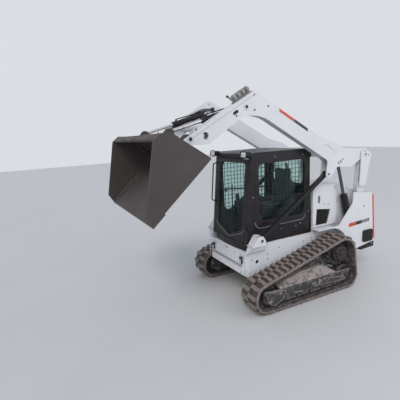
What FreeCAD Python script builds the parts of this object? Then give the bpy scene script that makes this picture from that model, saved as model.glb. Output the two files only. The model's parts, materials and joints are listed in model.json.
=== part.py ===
# Compact track loader with a vertical-lift arm, raised, its bucket tipped down.
# Millimetres. The front looks along -Y, the machine's left side is +X and up is +Z.
# The origin is on the ground under the middle of the machine as it stands here.
# Profiles are drawn in the plane of Y and Z, measured back and up from the drive axle's
# vertical, and each sub-part is then set back by axle_y.
import FreeCAD
import Part
import math
import os
import re

Vector = FreeCAD.Vector

# Driving sizes: name, value, meaning
SIZES = [
    ("axle_y", 915, "how far the drive axle lies behind the origin"),
    ("gap", 0.3, "seat clearance between pieces that touch"),
    ("run", 6, "running clearance beside a moving piece"),
    ("plate", 10, "thickness of a body plate"),
    ("belly_plate", 14, "thickness of the lower body's floor"),
    ("sheet", 5, "thickness of a formed sheet cover"),
    # Track loop and undercarriage
    ("track_gap", 58, "gap between the lower body and a track"),
    ("shoe_half", 160, "half width of one rubber track"),
    ("carcass", 28, "thickness of the rubber band"),
    ("lug", 32, "height of a ground lug"),
    ("lug_pitch", 92, "distance from lug to lug"),
    ("lug_share", 0.56, "part of a pitch that a lug fills at its root"),
    ("track_rim", 18, "smooth rim of the band beside its lugs"),
    ("sprocket_z", 520, "height of the drive axle"),
    ("sprocket_radius", 200, "inside of the band at the sprocket"),
    ("front_idler_y", -1275, "front idler"),
    ("front_idler_radius", 165, "inside of the band at the front idler"),
    ("rear_idler_y", 112, "rear idler"),
    ("rear_idler_radius", 128, "inside of the band at the rear idler"),
    ("roller_radius", 72, "track roller"),
    ("roller_width", 150, "track roller, over both halves"),
    ("roller_first", -1010, "place of the first roller"),
    ("roller_step", 215, "distance from roller to roller"),
    ("roller_count", 5, "rollers on each side"),
    ("idler_width", 130, "idler wheel"),
    ("sprocket_width", 70, "sprocket"),
    ("sprocket_teeth", 15, "teeth of the sprocket"),
    ("tooth_depth", 34, "depth of a sprocket tooth"),
    ("hub_radius", 118, "final drive hub"),
    ("hub_proud", 9, "how far the hub stands out of the track frame"),
    ("rail_half", 103, "half width of a track frame"),
    ("tie_radius", 55, "cross tube between the chassis and a track frame"),
    # Chassis
    ("body_half", 460, "half width of the lower body"),
    ("sill_z", 790, "top of the lower body, under the cab"),
    ("belly_z", 235, "underside of the lower body"),
    ("nose_y", -1400, "front of the lower body"),
    ("tail_y", 880, "rear of the tail"),
    ("tail_width", 150, "how far the tail stands out beside the lower body"),
    ("deck_z", 1440, "top of the body behind the cab"),
    ("hood_z", 1270, "top of the engine hood at the tail"),
    # Cab
    ("cab_inset", 15, "how far the cab's side lies inside the lower body's"),
    ("cab_wall", 28, "thickness of a cab wall"),
    ("cab_post", 60, "front post of the cab"),
    ("cab_rear_y", -258, "rear face of the cab"),
    ("cab_front_y", -1325, "front face of the cab at the sill"),
    ("cab_top_z", 1930, "top of the cab walls"),
    ("cab_lean", 112, "how far the top of the cab's front leans back"),
    ("roof_rise", 48, "thickness of the roof cap"),
    ("glass", 6, "thickness of a window pane"),
    ("door_frame", 73, "width of the cab's front post beside the door"),
    ("door_depth", 40, "thickness of the front door"),
    # Arms
    ("arm_clear", 30, "gap between the lower body's side and an arm"),
    ("arm_half", 55, "half width of an arm"),
    ("arm_plate", 13, "side plate of an arm"),
    ("arm_strip", 8, "how far the strip along an arm's top stands out"),
    ("link_clear", 6, "gap between an arm's side and the rear link's outer plate"),
    ("link_plate", 12, "outer plate of a rear link"),
    ("eye_half", 23, "half width of an eye, link or lug between two plates"),
    ("pin_radius", 20, "radius of a pin"),
    ("tube_radius", 50, "cross tube between the arms"),
    ("coupler_radius", 30, "round hydraulic coupler on the left arm"),
    ("coupler_step", 66, "distance from coupler to coupler"),
    ("hose_radius", 7, "hydraulic hose along an arm's inner side"),
    # Cylinders
    ("lift_barrel", 50, "outer radius of the lift cylinder"),
    ("lift_rod", 22, "radius of its rod"),
    ("tilt_barrel", 38, "outer radius of the tilt cylinder"),
    ("tilt_rod", 19, "radius of its rod"),
    ("tilt_inset", 58, "how far the tilt cylinders lie inside the arms"),
    # Bucket, measured in its level pose from its hinge
    ("bucket_half", 863.5, "half width of the bucket"),
    ("bucket_shell", 8, "thickness of the bucket's shell"),
    ("bucket_side", 14, "thickness of the bucket's side plates"),
    ("bucket_dump", 42, "how far the bucket is tipped down here, in degrees"),
]

# Places across the machine: name, and the sizes that add up to it from the middle
PLACES = [
    ("track_inner", ("body_half", "track_gap")),
    ("track_middle", ("track_inner", "shoe_half")),
    ("rail_inner", ("track_middle", "-rail_half")),
    ("rail_outer", ("track_middle", "rail_half")),
    ("hub_reach", ("rail_outer", "hub_proud")),
    ("tail_outer", ("body_half", "tail_width")),
    ("cab_half", ("body_half", "-cab_inset")),
    ("door_half", ("cab_half", "-door_frame")),
    ("arm_inner", ("body_half", "arm_clear")),
    ("arm_middle", ("arm_inner", "arm_half")),
    ("arm_outer", ("arm_middle", "arm_half")),
    ("link_inner", ("arm_middle", "-eye_half")),
    ("link_outer", ("arm_middle", "eye_half")),
    ("link_face", ("arm_outer", "link_clear")),
    ("link_edge", ("link_face", "link_plate")),
    ("tilt_x", ("arm_inner", "-tilt_inset")),
]

# Pins of the lift linkage: name, back from the drive axle, up
PINS = {
    "hinge": (-2104, 2192),
    "tilt_base": (-1377, 2517),
    "control_top": (-72, 1615),
    "control_base": (-1188, 878),
    "lift_top": (149, 1770),
    "lift_base": (462, 655),
    "rear_top": (625, 1835),
    "rear_base": (660, 950),
    "tilt_eye": (-2262, 2283),
}

doc = FreeCAD.newDocument("track_loader")
sheet = doc.addObject("Spreadsheet::Sheet", "Sizes")
for row, (alias, number, meaning) in enumerate(SIZES, start=1):
    sheet.set("A%d" % row, str(number))
    sheet.setAlias("A%d" % row, alias)
    sheet.set("B%d" % row, meaning)
doc.recompute()


class Numbers:
    """The sheet's numbers under their own names."""


S = Numbers()
for alias, number, meaning in SIZES:
    setattr(S, alias, float(sheet.get(alias)))

sums = {}
for name, terms in PLACES:
    total, words = 0.0, []
    for term in terms:
        sign, base = (-1, term[1:]) if term.startswith("-") else (1, term)
        total += sign * getattr(S, base)
        words.append("%s %s" % ("-" if sign < 0 else "+", sums.get(base, "Sizes." + base)))
    setattr(S, name, total)
    sums[name] = "(" + " ".join(words).lstrip("+ ") + ")"

NODES = []


def formula(text):
    """An expression in the sheet's names and the places, as the document wants it."""
    def word(found):
        return sums.get(found.group(0), "Sizes." + found.group(0))

    return re.sub(r"[a-z][a-z_]*[a-z]", word, text)


def bind(thing, field, text):
    thing.setExpression(field, formula(str(text)))


def keep(thing, label):
    """Name a finished sub-part; its label names its file."""
    thing.Label = label
    NODES.append(thing)
    return thing


def place(thing, across="0", along="axle_y", up="0"):
    bind(thing, "Placement.Base.x", across)
    bind(thing, "Placement.Base.y", along)
    bind(thing, "Placement.Base.z", up)


def new_body(name, across="0", along="axle_y", up="0"):
    body = doc.addObject("PartDesign::Body", name)
    place(body, across, along, up)
    return body


def loop(corners):
    """A closed outline from corners (a, b) or (a, b, radius)."""
    count = len(corners)
    starts, ends, arcs = [], [], []
    for index, corner in enumerate(corners):
        here = Vector(corner[0], corner[1], 0)
        before = Vector(corners[index - 1][0], corners[index - 1][1], 0)
        after = Vector(corners[(index + 1) % count][0], corners[(index + 1) % count][1], 0)
        radius = corner[2] if len(corner) > 2 else 0
        back = (before - here).normalize()
        forth = (after - here).normalize()
        if radius:
            half = back.getAngle(forth) / 2
            reach = radius / math.tan(half)
            middle = here + (back + forth).normalize() * (radius / math.sin(half))
            near = middle + (here - middle).normalize() * radius
            ends.append(here + back * reach)
            starts.append(here + forth * reach)
            arcs.append(Part.Arc(ends[-1], near, starts[-1]))
        else:
            ends.append(here)
            starts.append(here)
            arcs.append(None)
    edges = []
    for index in range(count):
        if arcs[index]:
            edges.append(arcs[index])
        if starts[index].distanceToPoint(ends[(index + 1) % count]) > 1e-6:
            edges.append(Part.LineSegment(starts[index], ends[(index + 1) % count]))
    return edges


def inset(corners, amount):
    """Corners moved inward on an anticlockwise outline, its round corners with them."""
    moved = []
    count = len(corners)
    for index, (a, b, radius) in enumerate(corners):
        here = Vector(a, b, 0)
        before = Vector(corners[index - 1][0], corners[index - 1][1], 0)
        after = Vector(corners[(index + 1) % count][0], corners[(index + 1) % count][1], 0)
        first = (here - before).normalize()
        second = (after - here).normalize()
        left = Vector(-first.y, first.x, 0)
        other = Vector(-second.y, second.x, 0)
        middle = (left + other).normalize()
        spot = here + middle * (amount / middle.dot(left))
        convex = first.x * second.y - first.y * second.x > 0
        moved.append((spot.x, spot.y, radius - amount if convex else radius + amount))
    return moved


def circle(a, b, radius):
    return [Part.Circle(Vector(a, b, 0), Vector(0, 0, 1), radius)]


def rectangle(a_low, a_high, b_low, b_high, radius=0):
    corners = [(a_low, b_low), (a_high, b_low), (a_high, b_high), (a_low, b_high)]
    return loop([(a, b, radius) for a, b in corners] if radius else corners)


def sketch(body, plane, outlines, start="0"):
    drawing = body.newObject("Sketcher::SketchObject", body.Name + "_sketch")
    planes = [item for item in body.Origin.OriginFeatures if item.Role == plane]
    drawing.AttachmentSupport = [(planes[0], "")]
    drawing.MapMode = "FlatFace"
    bind(drawing, "AttachmentOffset.Base.z", start)
    for outline in outlines:
        drawing.addGeometry(outline, False)
    return drawing


def pad(body, plane, outlines, length, start="0"):
    feature = body.newObject("PartDesign::Pad", body.Name + "_pad")
    feature.Profile = sketch(body, plane, outlines, start)
    bind(feature, "Length", length)
    return feature


def pocket(body, plane, outlines, length, start="0"):
    """Cut along the plane's normal, from start on."""
    feature = body.newObject("PartDesign::Pocket", body.Name + "_pocket")
    feature.Profile = sketch(body, plane, outlines, start)
    feature.Reversed = True
    bind(feature, "Length", length)
    return feature


SIDE, FRONT, PLAN = "YZ_Plane", "XZ_Plane", "XY_Plane"


def box(name, x, y, z):
    """A block between two expressions on each axis, y measured from the drive axle."""
    block = doc.addObject("Part::Box", name)
    bind(block, "Length", "(%s) - (%s)" % (x[1], x[0]))
    bind(block, "Width", "(%s) - (%s)" % (y[1], y[0]))
    bind(block, "Height", "(%s) - (%s)" % (z[1], z[0]))
    place(block, x[0], "axle_y + (%s)" % y[0], z[0])
    return block


def rod_across(name, radius, x, y, z):
    """A round bar along X."""
    bar = doc.addObject("Part::Cylinder", name)
    bind(bar, "Radius", radius)
    bind(bar, "Height", "(%s) - (%s)" % (x[1], x[0]))
    bar.Placement = FreeCAD.Placement(Vector(), FreeCAD.Rotation(Vector(0, 1, 0), 90))
    place(bar, x[0], "axle_y + (%s)" % y, z)
    return bar


def fuse(name, things):
    joined = doc.addObject("Part::MultiFuse", name)
    joined.Shapes = things
    joined.Refine = True
    return joined


def cut(name, base, tool):
    result = doc.addObject("Part::Cut", name)
    result.Base = base
    result.Tool = tool
    return result


def mirror(name, source):
    other = doc.addObject("Part::Mirroring", name)
    other.Source = source
    other.Normal = Vector(1, 0, 0)
    return other


def group(name, things):
    bundle = doc.addObject("Part::Compound", name)
    bundle.Links = things
    return bundle


def pair(label, left):
    """The left piece and its mirror image as one node."""
    return keep(group(label, [left, mirror(label + "_right", left)]), label)


# Track loop


def wheels():
    """Places and inner radii of the loop's three wheels, anticlockwise."""
    floor = S.carcass + S.lug
    return [
        (0, S.sprocket_z, S.sprocket_radius),
        (S.front_idler_y, floor + S.front_idler_radius, S.front_idler_radius),
        (S.rear_idler_y, floor + S.rear_idler_radius, S.rear_idler_radius),
    ]


def loop_normals():
    """Angle of the outward normal of the straight run after each wheel."""
    rims = wheels()
    angles = []
    for index, (y, z, radius) in enumerate(rims):
        next_y, next_z, next_radius = rims[(index + 1) % len(rims)]
        length = math.hypot(next_y - y, next_z - z)
        heading = math.atan2(next_z - z, next_y - y)
        angles.append(heading - math.acos((radius - next_radius) / length))
    return angles


def loop_pieces():
    """The inside of the band as arcs and runs: kind, length and where it starts."""
    rims = wheels()
    normals = loop_normals()
    pieces = []
    for index, (y, z, radius) in enumerate(rims):
        first = normals[index - 1]
        turn = (normals[index] - first) % (2 * math.pi)
        pieces.append(("arc", turn * radius, (y, z, radius, first)))
        normal = Vector(math.cos(normals[index]), math.sin(normals[index]), 0)
        next_y, next_z, next_radius = rims[(index + 1) % len(rims)]
        begin = Vector(y, z, 0) + normal * radius
        end = Vector(next_y, next_z, 0) + normal * next_radius
        pieces.append(("run", begin.distanceToPoint(end), (begin, end, normal)))
    return pieces


def loop_point(pieces, travel, height):
    """The point at a distance along the band, height above its inside."""
    for kind, length, data in pieces:
        if travel <= length:
            break
        travel -= length
    if kind == "arc":
        y, z, radius, first = data
        angle = first + travel / radius
        reach = radius + height
        return (y + reach * math.cos(angle), z + reach * math.sin(angle))
    begin, end, normal = data
    spot = begin + (end - begin).normalize() * travel + normal * height
    return (spot.x, spot.y)


def band_inside(inset=0.0):
    """The inner outline of the band, or a line parallel to it inside."""
    edges = []
    for kind, length, data in loop_pieces():
        if kind == "arc":
            y, z, radius, first = data
            last = first + length / radius
            bend = Part.Circle(Vector(y, z, 0), Vector(0, 0, 1), radius - inset)
            edges.append(Part.ArcOfCircle(bend, first, last))
        else:
            begin, end, normal = data
            edges.append(Part.LineSegment(begin - normal * inset, end - normal * inset))
    return edges


def toothed_outline(phase):
    """The outer outline with its lugs, shifted by a share of one pitch."""
    pieces = loop_pieces()
    around = sum(length for kind, length, data in pieces)
    lugs = round(around / S.lug_pitch)
    pitch = around / lugs
    root = pitch * S.lug_share
    draft = root * 0.14
    corners = []
    for number in range(lugs):
        start = (number + phase) * pitch
        for travel, height in (
            (start, S.carcass),
            (start + draft, S.carcass + S.lug),
            (start + root - draft, S.carcass + S.lug),
            (start + root, S.carcass),
        ):
            corners.append(loop_point(pieces, travel % around, height))
    return loop(corners)


def track(label):
    body = new_body(label + "_half", "track_inner")
    pad(body, SIDE, [toothed_outline(0), band_inside()], "shoe_half - track_rim", "track_rim")
    pad(body, SIDE, [toothed_outline(0.5), band_inside()], "shoe_half - track_rim", "shoe_half")
    for start in ("0", "2 * shoe_half - track_rim"):
        pad(body, SIDE, [band_inside(-S.carcass), band_inside()], "track_rim", start)
    return body


left_track = track("track_left")
keep(left_track, "track_left")
keep(mirror("track_right", left_track), "track_right")


def roller_places():
    return [S.roller_first + number * S.roller_step for number in range(int(S.roller_count))]


def wheel_row(name, places, radius, width, flange):
    """Wheels with a running groove between two halves, on one lateral middle."""
    parts = []
    for number, (y, z) in enumerate(places):
        body = new_body("%s_%d" % (name, number), "track_middle - %s / 2" % width)
        pad(body, SIDE, [circle(y, z, radius)], width)
        pocket(body, SIDE, [circle(y, z, radius), circle(y, z, radius - flange)],
               "%s / 3" % width, "%s / 3" % width)
        pad(body, SIDE, [circle(y, z, S.pin_radius)],
            "rail_outer - rail_inner - 2 * plate - 2 * gap",
            "rail_inner + plate + gap - (track_middle - %s / 2)" % width)
        parts.append(body)
    return parts


ground = S.carcass + S.lug
roller_z = ground + S.roller_radius + S.gap
rollers = wheel_row("roller", [(y, roller_z) for y in roller_places()],
                    S.roller_radius, "roller_width", 22)
pair("track_rollers", group("roller_row", rollers))

idler_spots = [
    ("front_idler", S.front_idler_y, S.front_idler_radius),
    ("rear_idler", S.rear_idler_y, S.rear_idler_radius),
]
idlers = []
for name, y, radius in idler_spots:
    idlers += wheel_row(name, [(y, ground + radius)], radius - S.gap, "idler_width", 30)
pair("track_idlers", group("idler_row", idlers))


def sprocket():
    body = new_body("sprocket_left", "track_middle - sprocket_width / 2")
    tip = S.sprocket_radius - S.gap
    valley = tip - S.tooth_depth
    teeth = int(S.sprocket_teeth)
    corners = []
    for number in range(teeth):
        for share, reach in ((-0.16, tip), (0.16, tip), (0.34, valley), (0.66, valley)):
            angle = 2 * math.pi * (number + share) / teeth
            corners.append((reach * math.cos(angle), S.sprocket_z + reach * math.sin(angle)))
    pad(body, SIDE, [loop(corners), circle(0, S.sprocket_z, S.hub_radius + S.gap)],
        "sprocket_width")
    return body


pair("drive_sprockets", sprocket())


def final_drive():
    """The hub in steps, with a ring of bolts and a cap on its face."""
    body = new_body("hub_left", "body_half + gap")
    pad(body, SIDE, [circle(0, S.sprocket_z, S.hub_radius)], "hub_reach - 40 - body_half")
    pad(body, SIDE, [circle(0, S.sprocket_z, S.hub_radius * 0.8)], "hub_reach - body_half")
    pad(body, SIDE, [circle(0, S.sprocket_z, S.hub_radius * 0.38)], "hub_reach + 14 - body_half")
    bolts = []
    for number in range(9):
        angle = 2 * math.pi * number / 9
        reach = S.hub_radius * 0.62
        bolts.append(circle(reach * math.cos(angle), S.sprocket_z + reach * math.sin(angle), 9))
    pad(body, SIDE, bolts, "hub_reach + 8 - body_half")
    return body


pair("final_drives", final_drive())

# Track frame: a beam over the rollers with a flange on each side that carries the axles
idler_z = ground + S.front_idler_radius
rear_idler_z = ground + S.rear_idler_radius
flange_low = roller_z - 26
beam_low = roller_z + S.roller_radius + S.run
BEAM_TOP, SHOULDER_Z, SHOULDER = 392, 278, 92
beam_profile = [
    (S.front_idler_y + 205, beam_low, 12),
    (S.rear_idler_y - 175, beam_low, 12),
    (S.rear_idler_y - 175, 262, 20),
    (-270, BEAM_TOP, 30),
    (-640, BEAM_TOP - 6, 200),
    (S.front_idler_y + 320, 345, 30),
    (S.front_idler_y + 205, 290, 30),
]
mount_profile = [
    (-560, BEAM_TOP - 60, 10),
    (-200, BEAM_TOP - 60, 10),
    (-215, 420, 40),
    (-300, 520, 40),
    (-400, 520, 30),
    (-560, BEAM_TOP + 20, 60),
]
flange_profile = [
    (S.front_idler_y - 55, idler_z - 60, 25),
    (S.front_idler_y + 75, flange_low - 24, 20),
    (S.roller_first - 60, flange_low, 20),
    (S.rear_idler_y - 120, flange_low, 20),
    (S.rear_idler_y + 50, rear_idler_z - 40, 25),
    (S.rear_idler_y + 50, rear_idler_z + 45, 25),
    (-120, SHOULDER_Z + 8, 60),
    (-1060, SHOULDER_Z - 4, 60),
    (S.front_idler_y - 40, idler_z + 62, 25),
]
# Guards bolted on the outer flange: thickness, corners
GUARDS = [
    (14, [(-1312, 286, 14), (-1228, 112, 14), (-1150, 86, 14), (-1010, 150, 20), (-985, 250, 20),
          (-1100, 262, 30)]),
    (12, [(-420, 168, 12), (55, 142, 12), (66, 182, 12), (-310, 240, 12), (-425, 214, 12)]),
    (22, [(-117, 262, 4), (150, 258, 4), (150, 276, 4), (-117, 280, 4)]),
]


def track_frame():
    beam = new_body("frame_beam", "rail_inner")
    pad(beam, SIDE, [loop(beam_profile)], "rail_outer - rail_inner")
    edge = S.rail_outer - S.rail_inner
    shoulder = [(edge - SHOULDER, BEAM_TOP + 2), (edge, SHOULDER_Z), (edge + 2, BEAM_TOP + 2)]
    pocket(beam, FRONT, [loop(shoulder)], "3000", "-500")
    pad(beam, SIDE, [loop(mount_profile)], "track_middle - sprocket_width / 2 - run - rail_inner")
    pieces = [beam]
    for name, start in (("inner_flange", "0"), ("outer_flange", "rail_outer - rail_inner - plate")):
        body = new_body(name, "rail_inner")
        pad(body, SIDE, [loop(flange_profile)], "plate", start)
        pieces.append(body)
    for number, (thickness, corners) in enumerate(GUARDS):
        guard = new_body("frame_guard_%d" % number, "rail_outer - 1")
        pad(guard, SIDE, [loop(corners)], str(thickness + 1))
        pieces.append(guard)
    return fuse("track_frame_left", pieces)


pair("track_frames", track_frame())

tie_tubes = [
    rod_across("tie_%d" % number, "tie_radius", ("body_half + gap", "rail_inner - gap"), y, z)
    for number, (y, z) in enumerate([("-900", "330"), ("-180", "330")])
]
pair("axle_tubes", group("tie_row", tie_tubes))

# Lower body: a welded tub that is open at the top between its side plates
tub_outline = [
    (S.nose_y + 10, 414, 8),
    (-1130, S.belly_z, 40),
    (330, S.belly_z, 40),
    (600, 400, 40),
    (600, S.sill_z - 40, 10),
    (-250, S.sill_z, 0),
    (-1150, S.sill_z, 0),
    (-1262, 705, 6),
    (S.nose_y + 60, 705, 10),
]
tub_hollow = [
    (-1240, 414),
    (-1100, S.belly_z + S.belly_plate),
    (320, S.belly_z + S.belly_plate),
    (590, 404),
    (590, S.sill_z - 60),
    (-1180, S.sill_z - 30),
    (-1240, 660),
]
tub_mouth = rectangle(-1170, 575, S.sill_z - 80, S.sill_z + 60)


TIE_DOWN = (-1180, 560, 24)
# Openings in the front plate: distance in from the body's side, low, high, width, depth
HOOK_INSET, HOOK_LOW, HOOK_HIGH, HOOK_WIDTH = 60, 556, 640, 62
LEDGE_LOW, LEDGE_HIGH, LEDGE_DEPTH = 500, 536, 34


def lower_body():
    body = new_body("lower_frame", "-body_half")
    pad(body, SIDE, [loop([corner for corner in tub_outline])], "2 * body_half")
    pocket(body, SIDE, [loop(tub_hollow)], "2 * (body_half - plate)", "plate")
    pocket(body, SIDE, [tub_mouth], "2 * (body_half - 40)", "40")
    y, z, radius = TIE_DOWN
    pocket(body, SIDE, [circle(y, z, radius)], "2 * body_half + 2", "-1")
    corner = 90
    for side in (0, 1):
        across = side * 2 * S.body_half
        inward = 1 - 2 * side
        wedge = [
            (across - inward * 10, S.nose_y - 30),
            (across + inward * corner, S.nose_y - 30),
            (across - inward * 10, S.nose_y + corner + 20),
        ]
        pocket(body, PLAN, [loop(wedge)], "900")
    face = -(S.nose_y + 10)
    wide = 2 * S.body_half
    ledge = rectangle(corner - 20, wide - corner + 20, LEDGE_LOW, LEDGE_HIGH)
    pocket(body, FRONT, [ledge], str(LEDGE_DEPTH + 40), str(face - LEDGE_DEPTH - 20))
    notch = rectangle(S.body_half - 70, S.body_half + 6, 655, 671, 6)
    pocket(body, FRONT, [notch], "100", str(face - 72))
    for near in (HOOK_INSET, wide - HOOK_INSET - HOOK_WIDTH):
        mouth = loop([(near, HOOK_LOW), (near + HOOK_WIDTH, HOOK_LOW),
                      (near + HOOK_WIDTH, HOOK_HIGH, 24), (near, HOOK_HIGH, 24)])
        hook = rectangle(near + 22, near + 40, HOOK_LOW - 5, HOOK_HIGH - 30, 8)
        pocket(body, FRONT, [mouth], "140", str(face - 90))
        pad(body, FRONT, [hook], "60", str(face - 92))
    return body


keep(lower_body(), "lower_frame")


def strip(path, thickness):
    """A closed outline along an open path of (a, b, radius), on its left side."""
    count = len(path)
    points = [Vector(a, b, 0) for a, b, radius in path]
    normals = []
    for index in range(count - 1):
        along = (points[index + 1] - points[index]).normalize()
        normals.append(Vector(-along.y, along.x, 0))
    outer = []
    for index in range(count):
        radius = path[index][2]
        if index in (0, count - 1):
            side = normals[0] if index == 0 else normals[-1]
            spot = points[index] + side * thickness
        else:
            first, second = normals[index - 1], normals[index]
            middle = (first + second).normalize()
            spot = points[index] + middle * (thickness / middle.dot(first))
            if radius:
                turn = first.x * second.y - first.y * second.x
                radius = radius + thickness if turn < 0 else max(radius - thickness, 1)
        outer.append((spot.x, spot.y, radius))
    return loop(list(path) + outer[::-1])


# Rear body: side walls, towers, hood, tail
TOWER_OUTER = S.body_half + 20
TOWER_FRONT, TOWER_REAR = S.cab_rear_y + 22, 225
TOWER_WINDOW = [(60, 880), (285, 880), (345, 1085), (75, 1120)]


def tower_slot():
    return rectangle(TOWER_FRONT + 103, TOWER_FRONT + 143, 1195, 1305, 19)


def side_walls():
    wall = new_body("engine_wall_left", "body_half - plate")
    outline = [
        (TOWER_FRONT, S.sill_z + S.gap),
        (620, S.sill_z + S.gap, 10),
        (S.tail_y - 45, 520),
        (S.tail_y - 68, S.hood_z - S.gap),
        (460, 1322 - S.gap, 60),
        (250, S.deck_z - S.gap, 60),
        (TOWER_FRONT, S.deck_z - S.gap),
    ]
    pad(wall, SIDE, [loop(outline), tower_slot()], "plate")
    return wall


pair("engine_walls", side_walls())


def tower():
    plate = new_body("tower_left", "body_half + gap")
    outline = [
        (TOWER_FRONT, S.sill_z + 70, 10),
        (TOWER_REAR, S.sill_z + 70, 60),
        (TOWER_REAR + 12, S.deck_z + 5, 45),
        (TOWER_FRONT + 60, S.deck_z + 20, 20),
        (TOWER_FRONT, S.deck_z - 60, 20),
    ]
    window = loop([(TOWER_FRONT + y, z, 12) for y, z in TOWER_WINDOW])
    pad(plate, SIDE, [loop(outline), tower_slot(), window], "20 - gap")
    return plate


pair("tower_plates", tower())


def tower_grille():
    """Upright and level bars in the tower's window, each set on the wall behind."""
    (left, low), (right, _), (right_up, side_top), (left_up, top) = TOWER_WINDOW
    clear, thick = 3, 7
    bars = []
    for number in range(6):
        y = left + 24 + number * 36
        share = (y + thick - left_up) / (right_up - left_up)
        reach = top - max(share, 0.05) * (top - side_top) - clear
        bars.append(box("grille_upright_%d" % number, ("body_half + gap", "body_half + 12"),
                        (str(TOWER_FRONT + y), str(TOWER_FRONT + y + thick)), (str(low + clear), str(reach))))
    for number in range(5):
        z = low + 34 + number * 36
        start = left + (left_up - left) * (z + thick - low) / (top - low) + clear
        stop = right + (right_up - right) * (z - low) / (side_top - low) - clear
        bars.append(box("grille_level_%d" % number, ("body_half + 6", "body_half + 12"),
                        (str(TOWER_FRONT + start), str(TOWER_FRONT + stop)), (str(z), str(z + thick))))
    return fuse("tower_grille_left", bars)


pair("tower_grille", tower_grille())


def hood():
    sheet_line = [
        (TOWER_FRONT, S.deck_z, 0),
        (250, S.deck_z, 60),
        (460, 1322, 60),
        (S.tail_y - 62, S.hood_z, 0),
    ]
    body = new_body("hood_body", "-body_half")
    pad(body, SIDE, [strip(sheet_line, S.sheet)], "2 * body_half")
    slots = []
    for number in range(8):
        for side in (-1, 1):
            middle = S.body_half + side * S.body_half * 0.45
            reach = S.body_half * 0.39
            y = 500 + number * 36
            slots.append(rectangle(middle - reach, middle + reach, y, y + 18, 8))
    pocket(body, PLAN, slots, "2000")
    return body


keep(hood(), "engine_hood")

# Tail: an outer panel each side with an arch over the track, closed behind and below
ARCH_REACH = 318
ARCH_TOP = S.sprocket_z + ARCH_REACH
tail_front = [
    (-250, ARCH_TOP + 22, 6),
    (140, ARCH_TOP + 22, 60),
    (408, 1150, 90),
    (416, 1309, 15),
]
tail_back = [
    (S.tail_y - 68, 1260, 25),
    (S.tail_y, 500, 20),
    (470, 441, 20),
    (446, 400, 6),
    (170, ARCH_TOP, ARCH_REACH),
    (-250, ARCH_TOP, 0),
]


def tail():
    body = new_body("tail_left", "body_half + gap")
    depth = "tail_outer - body_half - gap"
    pad(body, SIDE, [loop(tail_front + tail_back)], "plate", depth + " - plate")
    rim = [(-250, ARCH_TOP, 0), (170, ARCH_TOP, ARCH_REACH), (446, 400, 6),
           (470, 441, 20), (S.tail_y, 500, 20), (S.tail_y - 68, 1260, 25), (S.tail_y - 120, 1266, 0)]
    pad(body, SIDE, [strip(rim, S.plate)], depth)
    return body


pair("tail_panels", tail())

keep(box("engine_block", ("170 - body_half", "body_half - 170"), ("-150", "310"),
         ("belly_z + belly_plate + gap", "930")),
     "engine_block")


HITCH_SPACING, HITCH_HOLE, HITCH_Z = (240, 36), 8.5, 454


def bumper():
    body = new_body("bumper_body", "-tail_outer")
    rear = S.tail_y + 12
    profile = [(600 + S.gap, 400, 12), (rear, 415, 8), (rear, 492, 8), (600 + S.gap, 440, 4)]
    pad(body, SIDE, [loop(profile)], "2 * tail_outer")
    across, height = HITCH_SPACING
    holes = [circle(S.tail_outer + x, z, HITCH_HOLE) for x in (-across / 2, across / 2)
             for z in (HITCH_Z - height / 2, HITCH_Z + height / 2)]
    pocket(body, FRONT, holes, "40", "-tail_y - 12")
    return body


keep(bumper(), "rear_bumper")


def tail_lamp():
    body = new_body("tail_lamp_left", "tail_outer + gap")
    pad(body, SIDE, [rectangle(S.tail_y - 245, S.tail_y - 40, 520, 700, 30)], "22")
    return body


pair("tail_lamps", tail_lamp())


def slanted_body(name, lean, across, along, up):
    """A body turned about X, so that its own up leans back by an angle."""
    body = doc.addObject("PartDesign::Body", name)
    body.Placement = FreeCAD.Placement(Vector(), FreeCAD.Rotation(Vector(1, 0, 0), -lean))
    place(body, across, along, up)
    return body


# Tailgate, leaning with the tail's rear edge
TAIL_LEAN = -math.degrees(math.atan2(68, 760))
GATE_LOW, GATE_HIGH = 12, 735
GATE_AXIS = (S.tail_outer + 6.3, 38)
GATE_PIN = 8
GATE_HINGES = (264, 640)


def tailgate():
    body = slanted_body("gate_body", TAIL_LEAN, "0", "axle_y + tail_y + gap", "500")
    half = S.tail_outer - 28
    pad(body, FRONT, [rectangle(-half, half, GATE_LOW, GATE_LOW + GATE_HIGH, 30)], "34", "-34")
    rows = []
    for number in range(9):
        low = 162 + number * 52
        rows.append(rectangle(220 - S.tail_outer, S.tail_outer - 220, low, low + 26, 10))
    pocket(body, FRONT, rows, "200", "-120")
    straps = [rectangle(-half - 34 + GATE_PIN, 60 - half, z - 28, z + 28, 4) for z in GATE_HINGES]
    pad(body, FRONT, straps, "8", "-42")
    return body


keep(tailgate(), "tailgate")


def gate_trim():
    sides = []
    for name, start in (("left", "tail_outer - 27.7"), ("right", "-tail_outer")):
        body = slanted_body("trim_" + name, TAIL_LEAN, start, "axle_y + tail_y + gap", "500")
        pad(body, FRONT, [rectangle(0, 27.7, 32, GATE_HIGH - 8, 8)], "30", "-32")
        sides.append(body)
    return group("trim_pair", sides)


keep(gate_trim(), "tailgate_trim")

# The tailgate's hinges: pins on the tail's right side that its straps turn about


def gate_hinges():
    foot = "axle_y + tail_y + gap"
    y = GATE_AXIS[1]
    plates = slanted_body("gate_hinge_plates", TAIL_LEAN, "-tail_outer - gap - 12", foot, "500")
    pins = slanted_body("gate_hinge_pins", TAIL_LEAN, "0", foot, "500")
    for z in GATE_HINGES:
        pad(plates, SIDE, [rectangle(-62, y + 4, z - 48, z - 30, 4)], "12")
        pad(pins, PLAN, [circle(-GATE_AXIS[0], y, GATE_PIN)], "72", str(z - 44))
    return fuse("gate_hinge_body", [plates, pins])


keep(gate_hinges(), "tailgate_hinges")

# Cab: hollow, with a window in each side and behind, and the doorway in front
LEAN = math.degrees(math.atan2(S.cab_lean, S.cab_top_z - S.sill_z))


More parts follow.
